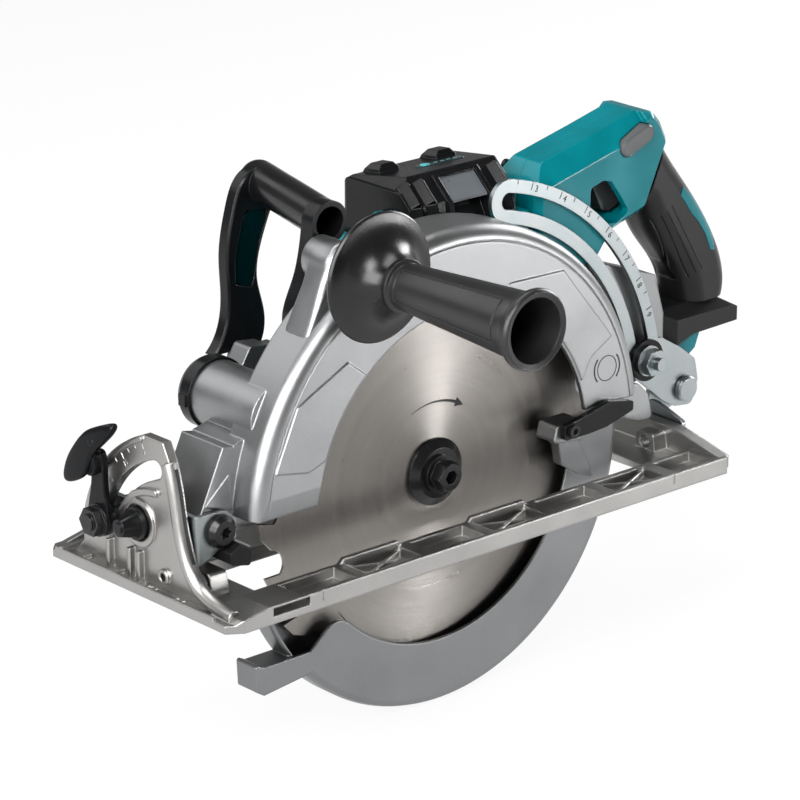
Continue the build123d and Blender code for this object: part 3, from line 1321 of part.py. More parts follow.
NODES = [
    saw_blade, spindle, spindle_gear, inner_flange, outer_flange, blade_bolt, idler_shaft, idler_gear,
    rotor_shaft,
    rotor_core, cooling_fan, blade_case, dust_nozzle, guard_retainer, guard_spring, rubber_stop,
    lower_guard, guard_lever,
    lever_screw, gear_housing, shaft_lock, bearings, motor_housing, motor_end_cover, stator,
    battery_holder, battery_pack,
    battery_button, terminal_block, controller_board, handle_near_half, handle_far_half, trigger,
    switch_unit,
    lock_off_button, rear_grip, handle_shelf, handle_foot, grip_arm, side_grip, side_grip_stud,
    front_handle,
    front_bracket, depth_pivot_bolt, rear_bracket, guide_pin, depth_guide, depth_clamp_bolt, guide_spacer,
    depth_lever,
    shoe, bevel_quadrant, stop_dial, bevel_clamp_bolt, bevel_lever, bevel_pins, handle_screws, motor_screws,
]

os.makedirs("parts", exist_ok=True)
to_sole = Pos(-(shoe_front + shoe_rear) / 2, -(shoe_near + shoe_far) / 2, 0)
for make in NODES:
    export_step(to_sole * make(), f"parts/{make.__name__}.step")
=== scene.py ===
import json
from math import cos, hypot, radians, sin

import bmesh
import bpy
import numpy as np
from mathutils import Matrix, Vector


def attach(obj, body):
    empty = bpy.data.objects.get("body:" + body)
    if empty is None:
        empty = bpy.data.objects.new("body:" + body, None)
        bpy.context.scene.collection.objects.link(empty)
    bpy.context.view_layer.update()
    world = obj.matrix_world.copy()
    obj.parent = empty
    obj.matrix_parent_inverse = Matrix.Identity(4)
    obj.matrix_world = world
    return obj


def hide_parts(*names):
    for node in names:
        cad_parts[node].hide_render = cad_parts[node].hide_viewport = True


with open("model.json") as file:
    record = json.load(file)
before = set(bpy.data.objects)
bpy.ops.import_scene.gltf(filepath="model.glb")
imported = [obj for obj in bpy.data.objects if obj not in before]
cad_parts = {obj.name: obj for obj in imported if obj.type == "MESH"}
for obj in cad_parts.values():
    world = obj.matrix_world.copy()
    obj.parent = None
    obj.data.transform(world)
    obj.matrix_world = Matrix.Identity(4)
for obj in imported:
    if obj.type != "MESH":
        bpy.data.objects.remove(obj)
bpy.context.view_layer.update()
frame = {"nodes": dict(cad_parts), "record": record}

MM = 0.001
# Sizes below are millimetres from the blade's axes. The CAD frame is shifted to the middle of the sole.
SHIFT = np.array((1.5, -28.0, 0.0))
AXIS = np.array((0.0, 33.0))
GUIDE_CENTRE = (38.32, 33.68)
QUADRANT_FRONT, BEVEL_Z = -184.0, 9.0
BEVEL_BOLT = (62.12, 34.1)
GROOVE_DEPTH = 0.0007

# Materials


class Wire:
    """An output socket of a node tree. Arithmetic on it adds Math nodes, and add() makes any other node."""

    def __init__(self, tree, socket=None):
        self.tree, self.socket = tree, socket

    def add(self, kind, settings=None, values=None, out=0):
        """Adds a node of a type, with its settings first and then its sockets' values or links."""
        node = self.tree.nodes.new(kind)
        for key, value in (settings or {}).items():
            setattr(node, key, value)
        for key, value in (values or {}).items():
            if isinstance(value, Wire):
                self.tree.links.new(value.socket, node.inputs[key])
            else:
                node.inputs[key].default_value = value
        return Wire(self.tree, node.outputs[out] if node.outputs else None)

    def math(self, operation, *others):
        values = {k: other for k, other in enumerate((self, *others))}
        return self.add("ShaderNodeMath", {"operation": operation}, values)

    def __add__(self, other):
        return self.math("ADD", other)

    __radd__ = __add__

    def __mul__(self, other):
        return self.math("MULTIPLY", other)

    __rmul__ = __mul__

    def __sub__(self, other):
        return self.math("SUBTRACT", other)

    def __rsub__(self, other):
        return (self * -1.0) + other

    def __truediv__(self, other):
        return self.math("DIVIDE", other)

    def __pow__(self, other):
        return self.math("POWER", other)

    def clamped(self, low, high):
        """The value's place between low and high, from 0 to 1."""
        return self.add("ShaderNodeMapRange", {"clamp": True}, {"Value": self, "From Min": low, "From Max": high})

    def mixed(self, a, b):
        """Colour a where this value is 0 and b where it is 1."""
        return self.add("ShaderNodeMix", {"data_type": "RGBA"}, {0: self, 6: a, 7: b}, out=2)


class Finish:
    """A material with its Principled shader, and the coordinates that its patterns are laid on."""

    def __init__(self, name, **sockets):
        self.material = bpy.data.materials.new(name)
        self.material.use_nodes = True
        tree = self.material.node_tree
        self.shader = tree.nodes["Principled BSDF"]
        self.top = Wire(tree)
        self.place = self.top.add("ShaderNodeTexCoord", out=3)
        for key, value in sockets.items():
            label = key.replace("_", " ").title().replace("Ior", "IOR")
            self.shader.inputs[label].default_value = value

    def feed(self, socket, wire):
        self.top.tree.links.new(wire.socket, self.shader.inputs[socket])

    def noise(self, scale, detail=2.0, rough=0.5, place=None):
        values = {"Vector": place or self.place, "Scale": scale, "Detail": detail, "Roughness": rough}
        return self.top.add("ShaderNodeTexNoise", None, values)

    def soft_edges(self, radius):
        """Normal that rolls over the edges within a radius, and how far it turns from the flat one."""
        rolled = self.top.add("ShaderNodeBevel", {"samples": 6}, {"Radius": radius})
        flat = self.top.add("ShaderNodeNewGeometry", out=1)
        same = self.top.add("ShaderNodeVectorMath", {"operation": "DOT_PRODUCT"}, {0: rolled, 1: flat}, out=1)
        return rolled, (1.0 - same).clamped(0.01, 0.2)

    def relief(self, height, normal):
        """Bumps of a height in metres, on a normal."""
        values = {"Height": height, "Strength": 1.0, "Distance": 1.0, "Normal": normal}
        self.feed("Normal", self.top.add("ShaderNodeBump", None, values))

    def axes(self):
        """The place's x, y and z as three values, in metres."""
        split = self.top.add("ShaderNodeSeparateXYZ", None, {"Vector": self.place})
        outs = split.socket.node.outputs
        return [Wire(self.top.tree, outs[k]) for k in range(3)]


def rgba(colour, level=1.0):
    return (*(min(1.0, c * level) for c in colour), 1.0)


def moulded(name, colour, rough=0.4, grain=0.00006, worn=1.6, edge=0.0007, shine=0.3, cut=None, sleeve=None):
    """Moulded plastic: spark-eroded grain, mottling, uneven gloss, and edges rubbed smooth.

    A cut gives the depth of grooves, whose colour is also darkened as painted shade, and a sleeve gives where it
    ends along y, its tone and its extra roughness.
    """
    f = Finish(name, roughness=rough, specular_ior_level=shine)
    rolled, rubbed = f.soft_edges(edge)
    mottle = f.noise(35.0, 3.0).clamped(0.3, 0.7)
    body = mottle.mixed(rgba(colour, 0.88), rgba(colour, 1.1))
    height = f.noise(1000.0, 3.0) * grain
    if cut:
        depth = cut(f)
        # Painted shade: the colour inside the grooves is darkened to 0.3 of the base.
        body = depth.mixed(body, rgba(colour, 0.3))
        height = height - depth * GROOVE_DEPTH
    gloss = mottle * 0.12 - rubbed * 0.1 + (rough - 0.06)
    if sleeve:
        end, tone, matt = sleeve
        nearer = 1.0 - f.axes()[1].clamped((end + SHIFT[1]) * MM, (end + 2 + SHIFT[1]) * MM)
        body, gloss = nearer.mixed(body, rgba(tone)), nearer * matt + gloss
    f.feed("Base Color", (rubbed * 0.7).mixed(body, rgba(colour, worn)))
    f.feed("Roughness", gloss)
    f.relief(height, rolled)
    return f.material


def cast(name, colour, rough=0.36, metal=1.0, edge=0.0015):
    """Blasted casting: fine pits over slow waves, cloudy sheen, and edges rubbed bright."""
    f = Finish(name, roughness=rough, metallic=metal)
    rolled, rubbed = f.soft_edges(edge)
    cloud = f.noise(24.0, 4.0, 0.6).clamped(0.25, 0.75)
    speck = f.noise(1600.0, 1.0).clamped(0.35, 0.75)
    body = (cloud * 0.6 + speck * 0.4).mixed(rgba(colour, 0.84), rgba(colour, 1.06))
    f.feed("Base Color", (rubbed * 0.6).mixed(body, rgba(colour, 1.2)))
    f.feed("Roughness", cloud * 0.12 - rubbed * 0.03 + (rough - 0.04))
    f.relief(f.noise(1400.0, 2.0) * 0.00004 + f.noise(240.0, 2.0) * 0.00004, rolled)
    return f.material


def plated(name, colour, rough=0.28, edge=0.0005):
    """Zinc plating: a bright sheen with cloudy patches, fine scratches and a blue tint."""
    f = Finish(name, roughness=rough, metallic=1.0)
    rolled, rubbed = f.soft_edges(edge)
    cloud = f.noise(60.0, 3.0).clamped(0.3, 0.7)
    blue = (colour[0] * 0.9, colour[1] * 0.97, colour[2])
    f.feed("Base Color", (rubbed * 0.6).mixed(cloud.mixed(rgba(blue), rgba(colour)), rgba(colour, 1.25)))
    f.feed("Roughness", cloud * 0.04 - rubbed * 0.03 + (rough + 0.03))
    stretched = f.top.add("ShaderNodeMapping", None, {"Vector": f.place, "Scale": (0.15, 1.0, 1.0)})
    f.relief(f.noise(900.0, 2.0, 0.5, stretched) * 0.000012, rolled)
    return f.material


def ground_disc(name, colour, rough=0.3):
    """Ground plate: fine rings about the blade's axis that lean in and out, with broader rings in tone and gloss."""
    f = Finish(name, roughness=rough, metallic=1.0)
    rolled, rubbed = f.soft_edges(0.0004)
    x, _, z = f.axes()
    dx, dz = x - float(AXIS[0] + SHIFT[0]) * MM, z - float(AXIS[1]) * MM
    radius = (dx * dx + dz * dz) ** 0.5
    line = f.top.add("ShaderNodeCombineXYZ", None, {"X": radius})
    broad = f.noise(150.0, 3.0, 0.6, line).clamped(0.25, 0.75)
    stain = f.noise(30.0, 3.0).clamped(0.3, 0.8)
    body = (broad * 0.7 + stain * 0.3).mixed(rgba(colour, 0.9), rgba(colour, 1.08))
    f.feed("Base Color", (rubbed * 0.5).mixed(body, rgba(colour, 1.5)))
    f.feed("Roughness", broad * 0.06 + stain * 0.04 + (rough - 0.05))
    # The grinding is finer than a pixel, so each ring's normal is tilted along the radius by its own amount.
    fine, slow = 0.62, 0.2
    ring = f.top.add("ShaderNodeTexWhiteNoise", {"noise_dimensions": "1D"}, {"W": radius}) - 0.5
    tilt = ring * fine + (f.noise(420.0, 2.0, 0.5, line) - 0.5) * slow
    out = f.top.add("ShaderNodeCombineXYZ", None, {"X": dx / radius * tilt, "Z": dz / radius * tilt})
    turn = {"vector_type": "VECTOR", "convert_from": "OBJECT", "convert_to": "WORLD"}
    out = f.top.add("ShaderNodeVectorTransform", turn, {"Vector": out})
    leaning = f.top.add("ShaderNodeVectorMath", {"operation": "ADD"}, {0: rolled, 1: out})
    f.feed("Normal", f.top.add("ShaderNodeVectorMath", {"operation": "NORMALIZE"}, {0: leaning}))
    return f.material


def panel_grooves(start, end, pitch, half):
    """Depth, from 0 to 1, of parallel grooves in the side view, along a line and within half a width of it."""
    a, b = (np.array(p) + SHIFT[[0, 2]] for p in (start, end))
    length = float(hypot(*(b - a)))
    run = [float(v) for v in (b - a) / length]

    def depth(f):
        x, _, z = f.axes()
        dx, dz = x / MM - float(a[0]), z / MM - float(a[1])
        along, across = dx * run[0] + dz * run[1], dz * run[0] - dx * run[1]
        line = 1.0 - (across / pitch).math("PINGPONG", 0.5).clamped(0.06, 0.14)
        inside = along.clamped(0.0, 0.5) * (length - along).clamped(0.0, 0.5)
        return line * inside * (half - across.math("ABSOLUTE")).clamped(0.0, 0.4)

    return depth


TEAL = (0.0, 0.148, 0.175)
BLACK = (0.0045, 0.0047, 0.0052)
SILVER = (0.33, 0.335, 0.34)

FINISHES = {
    "teal_body": moulded("teal moulding", TEAL, rough=0.2, grain=0.00002, worn=1.3, edge=0.0012),
    "black_plastic": moulded("black moulding", BLACK, rough=0.22, grain=0.00003, worn=3.5, edge=0.0009, shine=0.22),
    "black_rubber": moulded("black overmould", (0.008, 0.008, 0.0085), rough=0.42, grain=0.0001, worn=2.4,
                            edge=0.0012, shine=0.22),
    "grey_plastic": moulded("grey moulding", (0.105, 0.115, 0.125), rough=0.3, grain=0.00005),
    "cast_aluminium": cast("silver casting", SILVER),
    "plated_steel": plated("zinc plate", (0.33, 0.345, 0.345)),
    "blade_steel": ground_disc("ground blade", (0.225, 0.212, 0.198)),
    "black_steel": moulded("black oxide", (0.006, 0.006, 0.0063), rough=0.24, grain=0.00004, worn=5.0,
                           edge=0.0005, shine=0.35),
    "dark_cast": cast("dark casting", (0.08, 0.083, 0.086), rough=0.45, metal=0.4),
    "copper": plated("copper winding", (0.5, 0.27, 0.14)),
    "circuit": moulded("circuit board", (0.01, 0.06, 0.03)),
}
ONE_NODE = {
    "lower_guard": cast("guard casting", (0.23, 0.234, 0.238), rough=0.38),
    "shoe": cast("sole casting", (0.40, 0.395, 0.385), rough=0.32),
    "bevel_quadrant": cast("quadrant casting", (0.42, 0.412, 0.40), rough=0.32),
    "gear_housing": cast("gearbox casting", (0.24, 0.244, 0.247), rough=0.38),
    "motor_housing": cast("motor casting", (0.24, 0.244, 0.247), rough=0.38),
    "lock_off_button": moulded("button moulding", (0.075, 0.078, 0.08), rough=0.3, grain=0.00005, worn=1.5,
                               edge=0.0008),
    "trigger": moulded("trigger moulding", (0.035, 0.036, 0.037), rough=0.3, grain=0.00005, edge=0.0008),
    "side_grip": moulded("grip moulding", (0.005, 0.005, 0.0054), rough=0.26, grain=0.00005, worn=4.0, shine=0.42,
                         sleeve=(-61.0, (0.011, 0.011, 0.0115), 0.06)),
    "rear_grip": moulded("hand overmould", (0.0065, 0.0065, 0.0068), rough=0.36, grain=0.0001, worn=2.6,
                         edge=0.0012, shine=0.26, cut=panel_grooves((201, 140.5), (228, 95.5), 4.7, 10.0)),
}
for row in frame["record"]["subparts"]:
    mesh = frame["nodes"][row["node"]].data
    mesh.materials.clear()
    mesh.materials.append(ONE_NODE.get(row["node"], FINISHES[row["material_slot"]]))

PRINT = moulded("black print", (0.006, 0.006, 0.0065), rough=0.45, grain=0.00001, worn=1.0, edge=0.0001)
PAINT = moulded("white paint", (0.62, 0.62, 0.6), rough=0.5, grain=0.00001, worn=1.0, edge=0.0001)
WINDOW = moulded("lamp window", (0.010, 0.035, 0.038), rough=0.12, grain=0.00001, worn=1.2, edge=0.0003, shine=0.5)
LAMP = moulded("lamp bar", (0.14, 0.17, 0.17), rough=0.3, grain=0.00001, worn=1.0, edge=0.0002)
BUTTON = moulded("check button", (0.06, 0.30, 0.31), rough=0.3, grain=0.00001, worn=1.4, edge=0.0003)
LEVER = moulded("lever moulding", BLACK, rough=0.18, grain=0.00002, worn=5.0, edge=0.0006, shine=0.14)
# Painted shade: a teal inlay's colour darkened to stand for the shadow in the front handle's recess.
SHADED_INLAY = moulded("shade-darkened inlay moulding", (0.0, 0.007, 0.008), rough=0.25, grain=0.00002, worn=1.5, edge=0.0004, shine=0.15)

# Pieces


def grid_block(grid, ring=False):
    """Points and faces of a grid whose rows are closed loops, with its two ends capped unless they meet."""
    n, m = grid.shape[:2]
    index = np.arange(n * m).reshape(n, m)
    rows = np.vstack((index, index[:1])) if ring else index
    a, b = rows[:-1], rows[1:]
    faces = np.stack((a, b, np.roll(b, -1, 1), np.roll(a, -1, 1)), -1).reshape(-1, 4).tolist()
    ends = [] if ring else [index[0].tolist(), index[-1].tolist()]
    return grid.reshape(-1, 3), faces + ends


def bar(path, side, up, width, low, high, ring=False):
    """Strip: a trapezium, a width across along side and from low to high along up, carried along a path."""
    path = np.asarray(path, float)
    side, up = (np.broadcast_to(np.asarray(v, float), path.shape) for v in (side, up))
    half = np.broadcast_to(np.asarray(width, float), len(path))[:, None] / 2
    across = half * np.array((-1.0, -0.85, 0.85, 1.0))
    rise = np.array((low, high, high, low))
    grid = path[:, None] + across[..., None] * side[:, None] + rise[:, None] * up[:, None]
    return grid_block(grid, ring)


def pad(centre, u, v, a, b, rise, power=5.0):
    """Low plate: rings of a superellipse with half sizes a and b along u and v, flat on top, then down its edge."""
    t = np.linspace(0, 2 * np.pi, 48, endpoint=False)
    c, s = (np.sign(f) * np.abs(f) ** (2 / power) for f in (np.cos(t), np.sin(t)))
    loop = a * c[:, None] * np.asarray(u, float) + b * s[:, None] * np.asarray(v, float)
    rings = np.array((0.02, 0.6, 0.9, 0.97, 1.0, 1.0))[:, None, None]
    height = rise * np.array((1.0, 1.0, 1.0, 0.85, 0.3, -0.6))[:, None, None]
    return grid_block(np.asarray(centre, float) + rings * loop + height * np.cross(u, v))


def chip(outline, middle, thick, edge, bend=(0.0, 0.0), aim=(0.0, 0.0), along=False):
    """Plate across or along the saw: an outline with its corners cut three times, shrunk in rings, with a round rim.

    It leans by the first bend along z and curls by the second with the square of its other axis, both from the aim.
    """
    loop = np.asarray(outline, float)
    for _ in range(3):
        after = np.roll(loop, -1, 0)
        loop = np.stack((0.75 * loop + 0.25 * after, 0.25 * loop + 0.75 * after), 1).reshape(-1, 2)
    heart = loop.mean(0)
    arm = loop - heart
    reach = np.linalg.norm(arm, axis=1)
    a = np.linspace(0, np.pi, 11)
    share = 1 - edge * (1 - np.sin(a))[:, None] / reach
    ends = np.array((0.04, 0.5, 0.8))[:, None] * (1 - edge / reach)
    share = np.concatenate((ends, share, ends[::-1]))
    rim = np.sign(np.cos(a)) * (1 - 2 * edge / thick * (1 - np.abs(np.cos(a))))
    height = np.concatenate((np.ones(3), rim, -np.ones(3)))
    side = heart + share[..., None] * arm
    lean = bend[0] * (side[..., 1] - aim[1]) + bend[1] * (side[..., 0] - aim[0]) ** 2
    level = middle + lean - thick / 2 * height[:, None]
    return grid_block(np.dstack((side[..., 0], level, side[..., 1]) if along else (level, side)))


def circle(centre, radius, count):
    """Points of a circle, evenly spread."""
    t = np.linspace(0, 2 * np.pi, count, endpoint=False)
    return np.array(centre) + radius * np.stack((np.cos(t), np.sin(t)), -1)


def numeral(text, size, centre, right, up, rise):
    """A number's filled outline, as thick as twice its rise, set in the plane of right and up."""
    curve = bpy.data.curves.new("numeral", "FONT")
    curve.body, curve.size, curve.extrude = text, size, rise
    curve.align_x = curve.align_y = "CENTER"
    holder = bpy.data.objects.new("numeral", curve)
    mesh = bpy.data.meshes.new_from_object(holder)
    flat = np.empty(len(mesh.vertices) * 3)
    mesh.vertices.foreach_get("co", flat)
    faces = [list(face.vertices) for face in mesh.polygons]
    bpy.data.objects.remove(holder)
    bpy.data.curves.remove(curve)
    bpy.data.meshes.remove(mesh)
    return np.asarray(centre) + flat.reshape(-1, 3) @ np.array((right, up, np.cross(right, up))), faces


def add_piece(name, blocks, material, body, smooth=False):
    """One object from blocks of points and faces, faced outwards, that rides on a body."""
    points = [block[0] for block in blocks]
    starts = np.cumsum([0] + [len(p) for p in points])
    faces = [[i + int(start) for i in face] for start, block in zip(starts, blocks) for face in block[1]]
    mesh = bpy.data.meshes.new(name)
    mesh.from_pydata(((np.concatenate(points) + SHIFT) * MM).tolist(), [], faces)
    work = bmesh.new()
    work.from_mesh(mesh)
    bmesh.ops.recalc_face_normals(work, faces=work.faces)
    work.to_mesh(mesh)
    work.free()
    mesh.polygons.foreach_set("use_smooth", np.full(len(mesh.polygons), smooth))
    mesh.materials.append(material)
    piece = bpy.data.objects.new(name, mesh)
    bpy.context.scene.collection.objects.link(piece)
    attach(piece, body)
    return piece


def spoke(centre, y, degrees, r0, r1, width, rise):
    """Tick on a near face: a bar along a radius of the side view, between two radii."""
    out = np.array((cos(radians(degrees)), 0.0, sin(radians(degrees))))
    path = np.array((centre[0], y, centre[1])) + np.array((r0, r1))[:, None] * out
    return bar(path, np.cross(out, (0, 1, 0)), (0, -1, 0), width, -0.1, rise)


def arc(centre, y, radius, degrees):
    """Points of an arc in the side view at the given angles, and its outward directions."""
    a = np.radians(degrees)
    out = np.stack((np.cos(a), np.zeros_like(a), np.sin(a)), -1)
    return np.array((centre[0], y, centre[1])) + radius * out, out


def guide_scale():
    """Depth scale on the guide's outer land: ticks along radii, with a plain number beside each long one."""
    face, inner, middle, outer, rise = 12.5, 154.4, 156.6, 158.9, 0.12
    long_ticks = (71.4, 62.2, 53.3, 44.6, 36.2, 28.1, 20.0)
    short_ticks = (75.8, 66.8, 57.8, 48.9, 40.4, 32.1, 24.0)
    blocks = [spoke(GUIDE_CENTRE, face, d, inner, outer, 0.55, rise) for d in long_ticks]
    blocks += [spoke(GUIDE_CENTRE, face, d, middle, outer, 0.5, rise) for d in short_ticks]
    for number, d in enumerate(long_ticks, 3):
        place, out = arc(GUIDE_CENTRE, face, inner + 1.2, [d - 1.5])
        blocks.append(numeral(str(number), 5.6, place[0], np.cross((0, 1, 0), out[0]), out[0], rise))
    add_piece("guide_scale", blocks, PRINT, "guide_set")


def blade_arrow():
    """Turning arrow on the blade: an arc of a circle round the axis whose width grows, then a pointed head."""
    degrees = np.concatenate((np.linspace(114, 66, 40), np.linspace(66, 57, 8)))
    width = np.concatenate((np.linspace(0.4, 2.0, 40), np.linspace(6.4, 0.2, 8)))
    path, out = arc(AXIS, -0.9, 41.5, degrees)
    add_piece("blade_arrow", [bar(path, out, (0, -1, 0), width, -0.1, 0.08)], PRINT, "spindle_set")


def case_badge():
    """Plain round mark on the case: a ring, and an arc of a larger circle on each side of it."""
    blocks = []
    for radius, first, last, width, ring in ((7.6, 0, 360, 0.6, True), (10.2, 138, 222, 1.1, False),
                                             (10.2, -42, 42, 1.1, False)):
        path, out = arc((118.5, 73.1), -20.7, radius, np.linspace(first, last, 49)[: -1 if ring else None])
        blocks.append(bar(path, out, (0, -1, 0), width, -0.2, 0.12, ring))
    add_piece("case_badge", blocks, PRINT, "saw_body")


def bevel_scale():
    """Bevel scale on the quadrant's front: raised ticks along radii about the bevel axis, and plain numbers."""
    pivot, rise = np.array((QUADRANT_FRONT, 0.0, BEVEL_Z)), 0.2
    first, step, inner, short, outer = 67, 5, 79.0, 80.6, 83.2
    blocks = []
    for k in range(10):
        a, long = radians(first - step * k), k % 3 == 0
        out = np.array((0.0, cos(a), sin(a)))
        path = pivot + np.array((inner if long else short, outer))[:, None] * out
        blocks.append(bar(path, np.cross(out, (1, 0, 0)), (-1, 0, 0), 0.8, -0.3, rise))
        if long:
            blocks.append(numeral(str(step * k), 4.4, pivot + 76.6 * out, np.cross(out, (-1, 0, 0)), out, rise))
    add_piece("bevel_scale", blocks, ONE_NODE["bevel_quadrant"], "shoe_set")


def sight_marks():
    """Sight marks behind the shoe's front lip: two painted ticks along the saw, each with a plain number."""
    front, rear, face = -190.6, -186.4, 4.5
    blocks = []
    for y, number in ((-6.0, "0"), (18.0, "45")):
        blocks.append(bar(((front, y, face), (rear, y, face)), (0, 1, 0), (0, 0, 1), 0.9, -0.1, 0.15))
        blocks.append(numeral(number, 5.0, (front + 2.2, y + 5.2, face), (0, -1, 0), (1, 0, 0), 0.12))
    add_piece("sight_marks", blocks, PAINT, "shoe_set")


def charge_gauge():
    """Charge gauge on the pack's sloping top: a low window, four lamp bars and a round button."""
    run, drop, middle, glass = 38.0, 5.0, 61.0, 0.35
    u, v = np.array((1.0, 0.0, 0.0)), np.array((0.0, run, -drop)) / hypot(run, drop)

    def top(x, rise=0.0):
        return np.array((x, middle, 194.0 - drop * (middle - 44.0) / run + rise))

    add_piece("gauge_window", [pad(top(60.0), u, v, 17.5, 3.8, glass)], WINDOW, "battery_set")
    bars = [pad(top(x, glass), u, v, 1.3, 0.8, 0.15) for x in (57.0, 62.0, 67.0, 72.0)]
    add_piece("gauge_bars", bars, LAMP, "battery_set")
    add_piece("gauge_button", [pad(top(48.6), u, v, 2.9, 2.9, 0.9, 2.0)], BUTTON, "battery_set")


def grip_inlay():
    """Teal inlay in the grip's back: straight lines between two edge curves, laid on the grip and thickened."""
    inner = np.array(((216.5, 18, 150.5), (222, 18, 143.5), (226.5, 18, 137), (232.5, 18, 131), (239, 18, 122),
                      (243.5, 18, 111)))
    outer = np.array(((220, 20, 154.5), (229, 22, 147), (236, 23, 138), (242, 23, 128.5), (246.5, 22, 119),
                      (247.5, 19, 109.5)))
    proud, thick = 0.35 * MM, 1.2 * MM
    t, knots = np.linspace(0, 5, 61), np.arange(6)
    a, b = (np.stack([np.interp(t, knots, edge[:, k]) for k in range(3)], -1) for edge in (inner, outer))
    u = np.linspace(0, 1, 13)[None, :, None]
    grid = a[:, None] * (1 - u) + b[:, None] * u
    n, m = grid.shape[:2]
    index = np.arange(n * m).reshape(n, m)
    faces = np.stack((index[:-1, :-1], index[1:, :-1], index[1:, 1:], index[:-1, 1:]), -1).reshape(-1, 4).tolist()
    piece = add_piece("grip_inlay", [(grid.reshape(-1, 3), faces)], FINISHES["teal_body"], "saw_body")
    wrap = piece.modifiers.new("lay", "SHRINKWRAP")
    wrap.target, wrap.wrap_mode, wrap.offset = frame["nodes"]["rear_grip"], "ABOVE_SURFACE", proud
    solid = piece.modifiers.new("thick", "SOLIDIFY")
    solid.thickness, solid.offset = thick, -1.0
    bpy.context.view_layer.update()
    laid = bpy.data.meshes.new_from_object(piece.evaluated_get(bpy.context.evaluated_depsgraph_get()))
    piece.modifiers.clear()
    piece.data = laid


def quadrant_seam():
    """Black strip painted as the shadow in the gap along the quadrant's bead: a strip along the bead's cubic curve,
    at its radius from its middle.
    """
    bead_x, bead_r, back, near = -184.3, 4.5, 0.2, 0.98
    z = np.linspace(24.5, 76.5, 41)
    curve = np.polyfit((24, 40, 60, 77), (-7.2, -1.1, 3.1, 7.3), 3)
    slope = np.polyval(np.polyder(curve), z)
    run = np.stack((np.zeros_like(z), slope, np.ones_like(z)), -1) / np.hypot(slope, 1.0)[:, None]
    out = np.stack((np.full_like(z, back), -near * run[:, 2], near * run[:, 1]), -1)
    path = np.stack((np.full_like(z, bead_x), np.polyval(curve, z), z), -1) + bead_r * out
    strip = bar(path, np.cross(run, out), out, 2.0, -0.8, 0.25)
    # Painted shade: the black print material here stands for the shadow beside the bead.
    add_piece("quadrant_seam", [strip], PRINT, "shoe_set")


def lever_form():
    """Bevel lever: a leaning, curled paddle with a round mark, on a neck, a flat shank and a hub."""
    curl = {"bend": (0.22, 0.003), "aim": (62.0, 65.0)}
    paddle = ((69.1, 83.8), (65, 87.4), (55, 92.0), (45.3, 95.6), (43.0, 93.6), (45.2, 89.0), (48.7, 84.8),
              (55, 77.9), (57.6, 74.6), (58.6, 71.0), (60.4, 64.0), (64.8, 59.2), (75.6, 54.8), (80.4, 57.6),
              (79.4, 68.4), (73.2, 79.0))
    shank = ((53, 31), (56, 25), (68, 25), (72.4, 33), (70.5, 44), (67.5, 56), (66.5, 75), (56.5, 76), (57, 54),
             (53, 42))
    neck = ((57, 61), (69, 61), (69, 75), (57, 76))
    hub, mark = circle(BEVEL_BOLT, 9.8, 24), circle((58.9, 82.3), 2.0, 24)
    blocks = [chip(paddle, -200.4, 5.0, 2.2, **curl), chip(shank, -190.65, 3.9, 0.8), chip(neck, -195.0, 7.0, 1.5),
              chip(hub, -189.7, 5.8, 0.8), chip(mark, -202.9, 0.9, 0.4, **curl)]
    piece = add_piece("lever_form", blocks, LEVER, "bevel_lever_set", True)
    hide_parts("bevel_lever")


def arm_form():
    """Cast arm of the side grip: a thick plate along the saw that flows from the case's rim to a round boss."""
    web = ((-107.5, 131.0), (-102.0, 142.6), (-96.2, 155.0), (-91.8, 165.0), (-88.8, 172.5), (-86.5, 180.5),
           (-79.5, 185.6), (-70.5, 185.6), (-63.5, 180.0), (-61.5, 172.0), (-60.0, 161.5), (-74.0, 153.5),
           (-87.5, 144.5), (-98.0, 133.5))
    boss = circle((-74.97, 174.0), 12.6, 32)
    blocks = [chip(web, -3.0, 20.0, 4.6, along=True), chip(boss, 1.0, 22.0, 1.6, along=True)]
    piece = add_piece("arm_form", blocks, FINISHES["cast_aluminium"], "saw_body", True)
    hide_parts("grip_arm")


def handle_panel():
    """Teal inlay on the floor of the recess in the front handle's broad leg, its colour darkened to near black as
    painted shade: a thin plate along the saw.
    """
    outline = ((-57.3, 178.0), (-64.6, 151), (-64.8, 135), (-53, 130.6), (-50.4, 137), (-46.6, 157), (-38.9, 176.4))
    plate = chip(outline, 97.7, 1.0, 0.3, along=True)
    add_piece("handle_panel", [plate], SHADED_INLAY, "saw_body", True)


guide_scale()
blade_arrow()
case_badge()
bevel_scale()
sight_marks()
charge_gauge()
grip_inlay()
quadrant_seam()
lever_form()
arm_form()
handle_panel()

# Stage, camera and light


def add_floor(z, white):
    """A wide pale floor that keeps the object's shadow and shows mostly white to the camera and in metal."""
    far = 8.0
    mesh = bpy.data.meshes.new("floor")
    mesh.from_pydata([(-far, -far, z), (far, -far, z), (far, far, z), (-far, far, z)], [], [(0, 1, 2, 3)])
    floor = bpy.data.objects.new("floor", mesh)
    bpy.context.scene.collection.objects.link(floor)
    f = Finish("pale floor", base_color=(0.86, 0.86, 0.86, 1), roughness=0.9)
    tree = f.material.node_tree
    path = f.top.add("ShaderNodeLightPath").socket.node.outputs
    camera, glossy, through = (Wire(tree, path[f"Is {kind} Ray"]) for kind in ("Camera", "Glossy", "Transmission"))
    seen = (camera + glossy + through).clamped(0.0, 1.0) * white
    glow = f.top.add("ShaderNodeEmission", None, {"Color": (1, 1, 1, 1), "Strength": 1.0})
    both = f.top.add("ShaderNodeMixShader", None, {0: seen, 1: Wire(tree, f.shader.outputs[0]), 2: glow})
    tree.links.new(both.socket, tree.nodes["Material Output"].inputs["Surface"])
    mesh.materials.append(f.material)


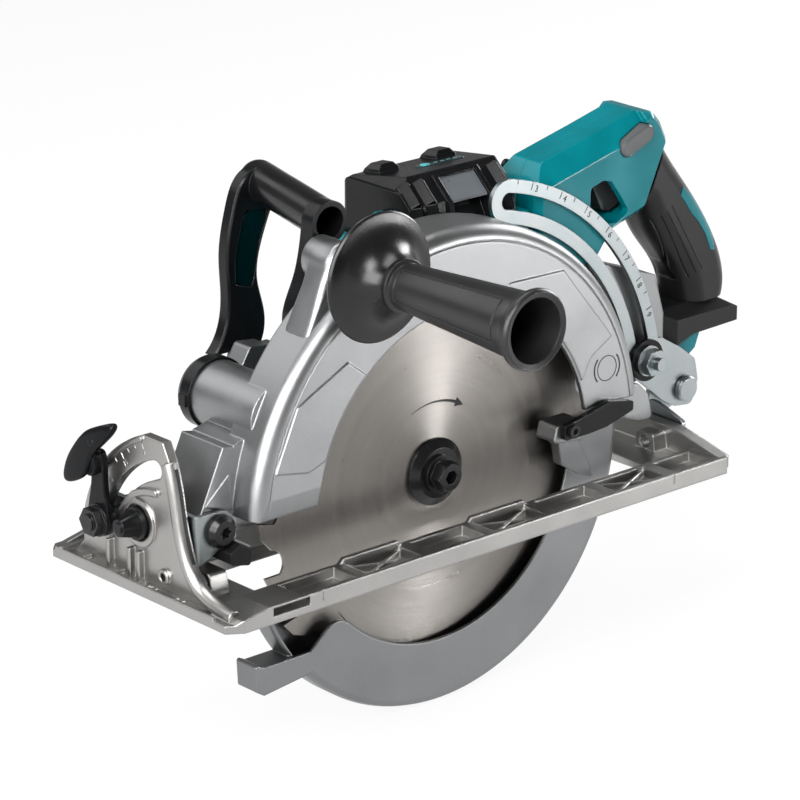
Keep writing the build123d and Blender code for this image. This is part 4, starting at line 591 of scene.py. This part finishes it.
def add_light(name, place, aim, size, power):
    """Soft panel of a size in metres and a power in watts, turned to its aim."""
    data = bpy.data.lights.new(name, "AREA")
    data.shape, data.size, data.size_y, data.energy = "RECTANGLE", size[0], size[1], power
    lamp = bpy.data.objects.new(name, data)
    lamp.location = place
    lamp.rotation_euler = (Vector(aim) - Vector(place)).to_track_quat("-Z", "Y").to_euler()
    bpy.context.scene.collection.objects.link(lamp)


def add_camera(azimuth, elevation, distance, focal_px, target):
    """Camera on the photograph's line of sight, with its focal length given for an 800 px frame."""
    az, el = radians(azimuth), radians(elevation)
    back = Vector((sin(az) * cos(el), -cos(az) * cos(el), sin(el)))
    data = bpy.data.cameras.new("camera")
    data.sensor_width, data.lens = 36.0, focal_px / 800 * 36.0
    camera = bpy.data.objects.new("camera", data)
    camera.location = Vector(target) + back * distance
    camera.rotation_euler = (-back).to_track_quat("-Z", "Y").to_euler()
    bpy.context.scene.collection.objects.link(camera)
    bpy.context.scene.camera = camera


def add_world(low, high):
    """Grey room: one level at the horizon that changes evenly to another overhead."""
    world = bpy.data.worlds.new("studio")
    bpy.context.scene.world = world
    world.use_nodes = True
    tree = world.node_tree
    top = Wire(tree)
    split = top.add("ShaderNodeSeparateXYZ", None, {"Vector": top.add("ShaderNodeTexCoord")})
    rise = Wire(tree, split.socket.node.outputs[2]).clamped(0.0, 0.8)
    tone = rise.mixed((low, low, low, 1), (high, high, high, 1))
    tree.links.new(tone.socket, tree.nodes["Background"].inputs["Color"])


scene = bpy.context.scene
scene.view_settings.view_transform = "Standard"
add_camera(azimuth=-41.6, elevation=19.38, distance=2.245, focal_px=3969.0, target=(-0.01955, -0.02392, 0.0794))
add_floor(z=-0.1075, white=0.9)
add_light("key", (-1.1, -1.0, 1.5), (0, 0, 0.05), (0.8, 0.8), 26)
add_light("left", (-1.7, -0.45, 0.75), (0, 0, 0.08), (1.5, 1.2), 52)
add_light("back", (-0.6, 1.4, 1.2), (0, 0, 0.1), (1.6, 1.0), 8)
add_light("right", (1.9, 0.35, 0.75), (0, 0, 0.08), (0.9, 0.9), 26)
add_light("strip", (1.15, -1.35, 0.06), (0, 0, 0.05), (0.12, 0.32), 9)
add_light("top", (0.0, 0.2, 1.7), (0, 0, 0.05), (1.4, 0.5), 14)
add_world(low=0.24, high=0.06)
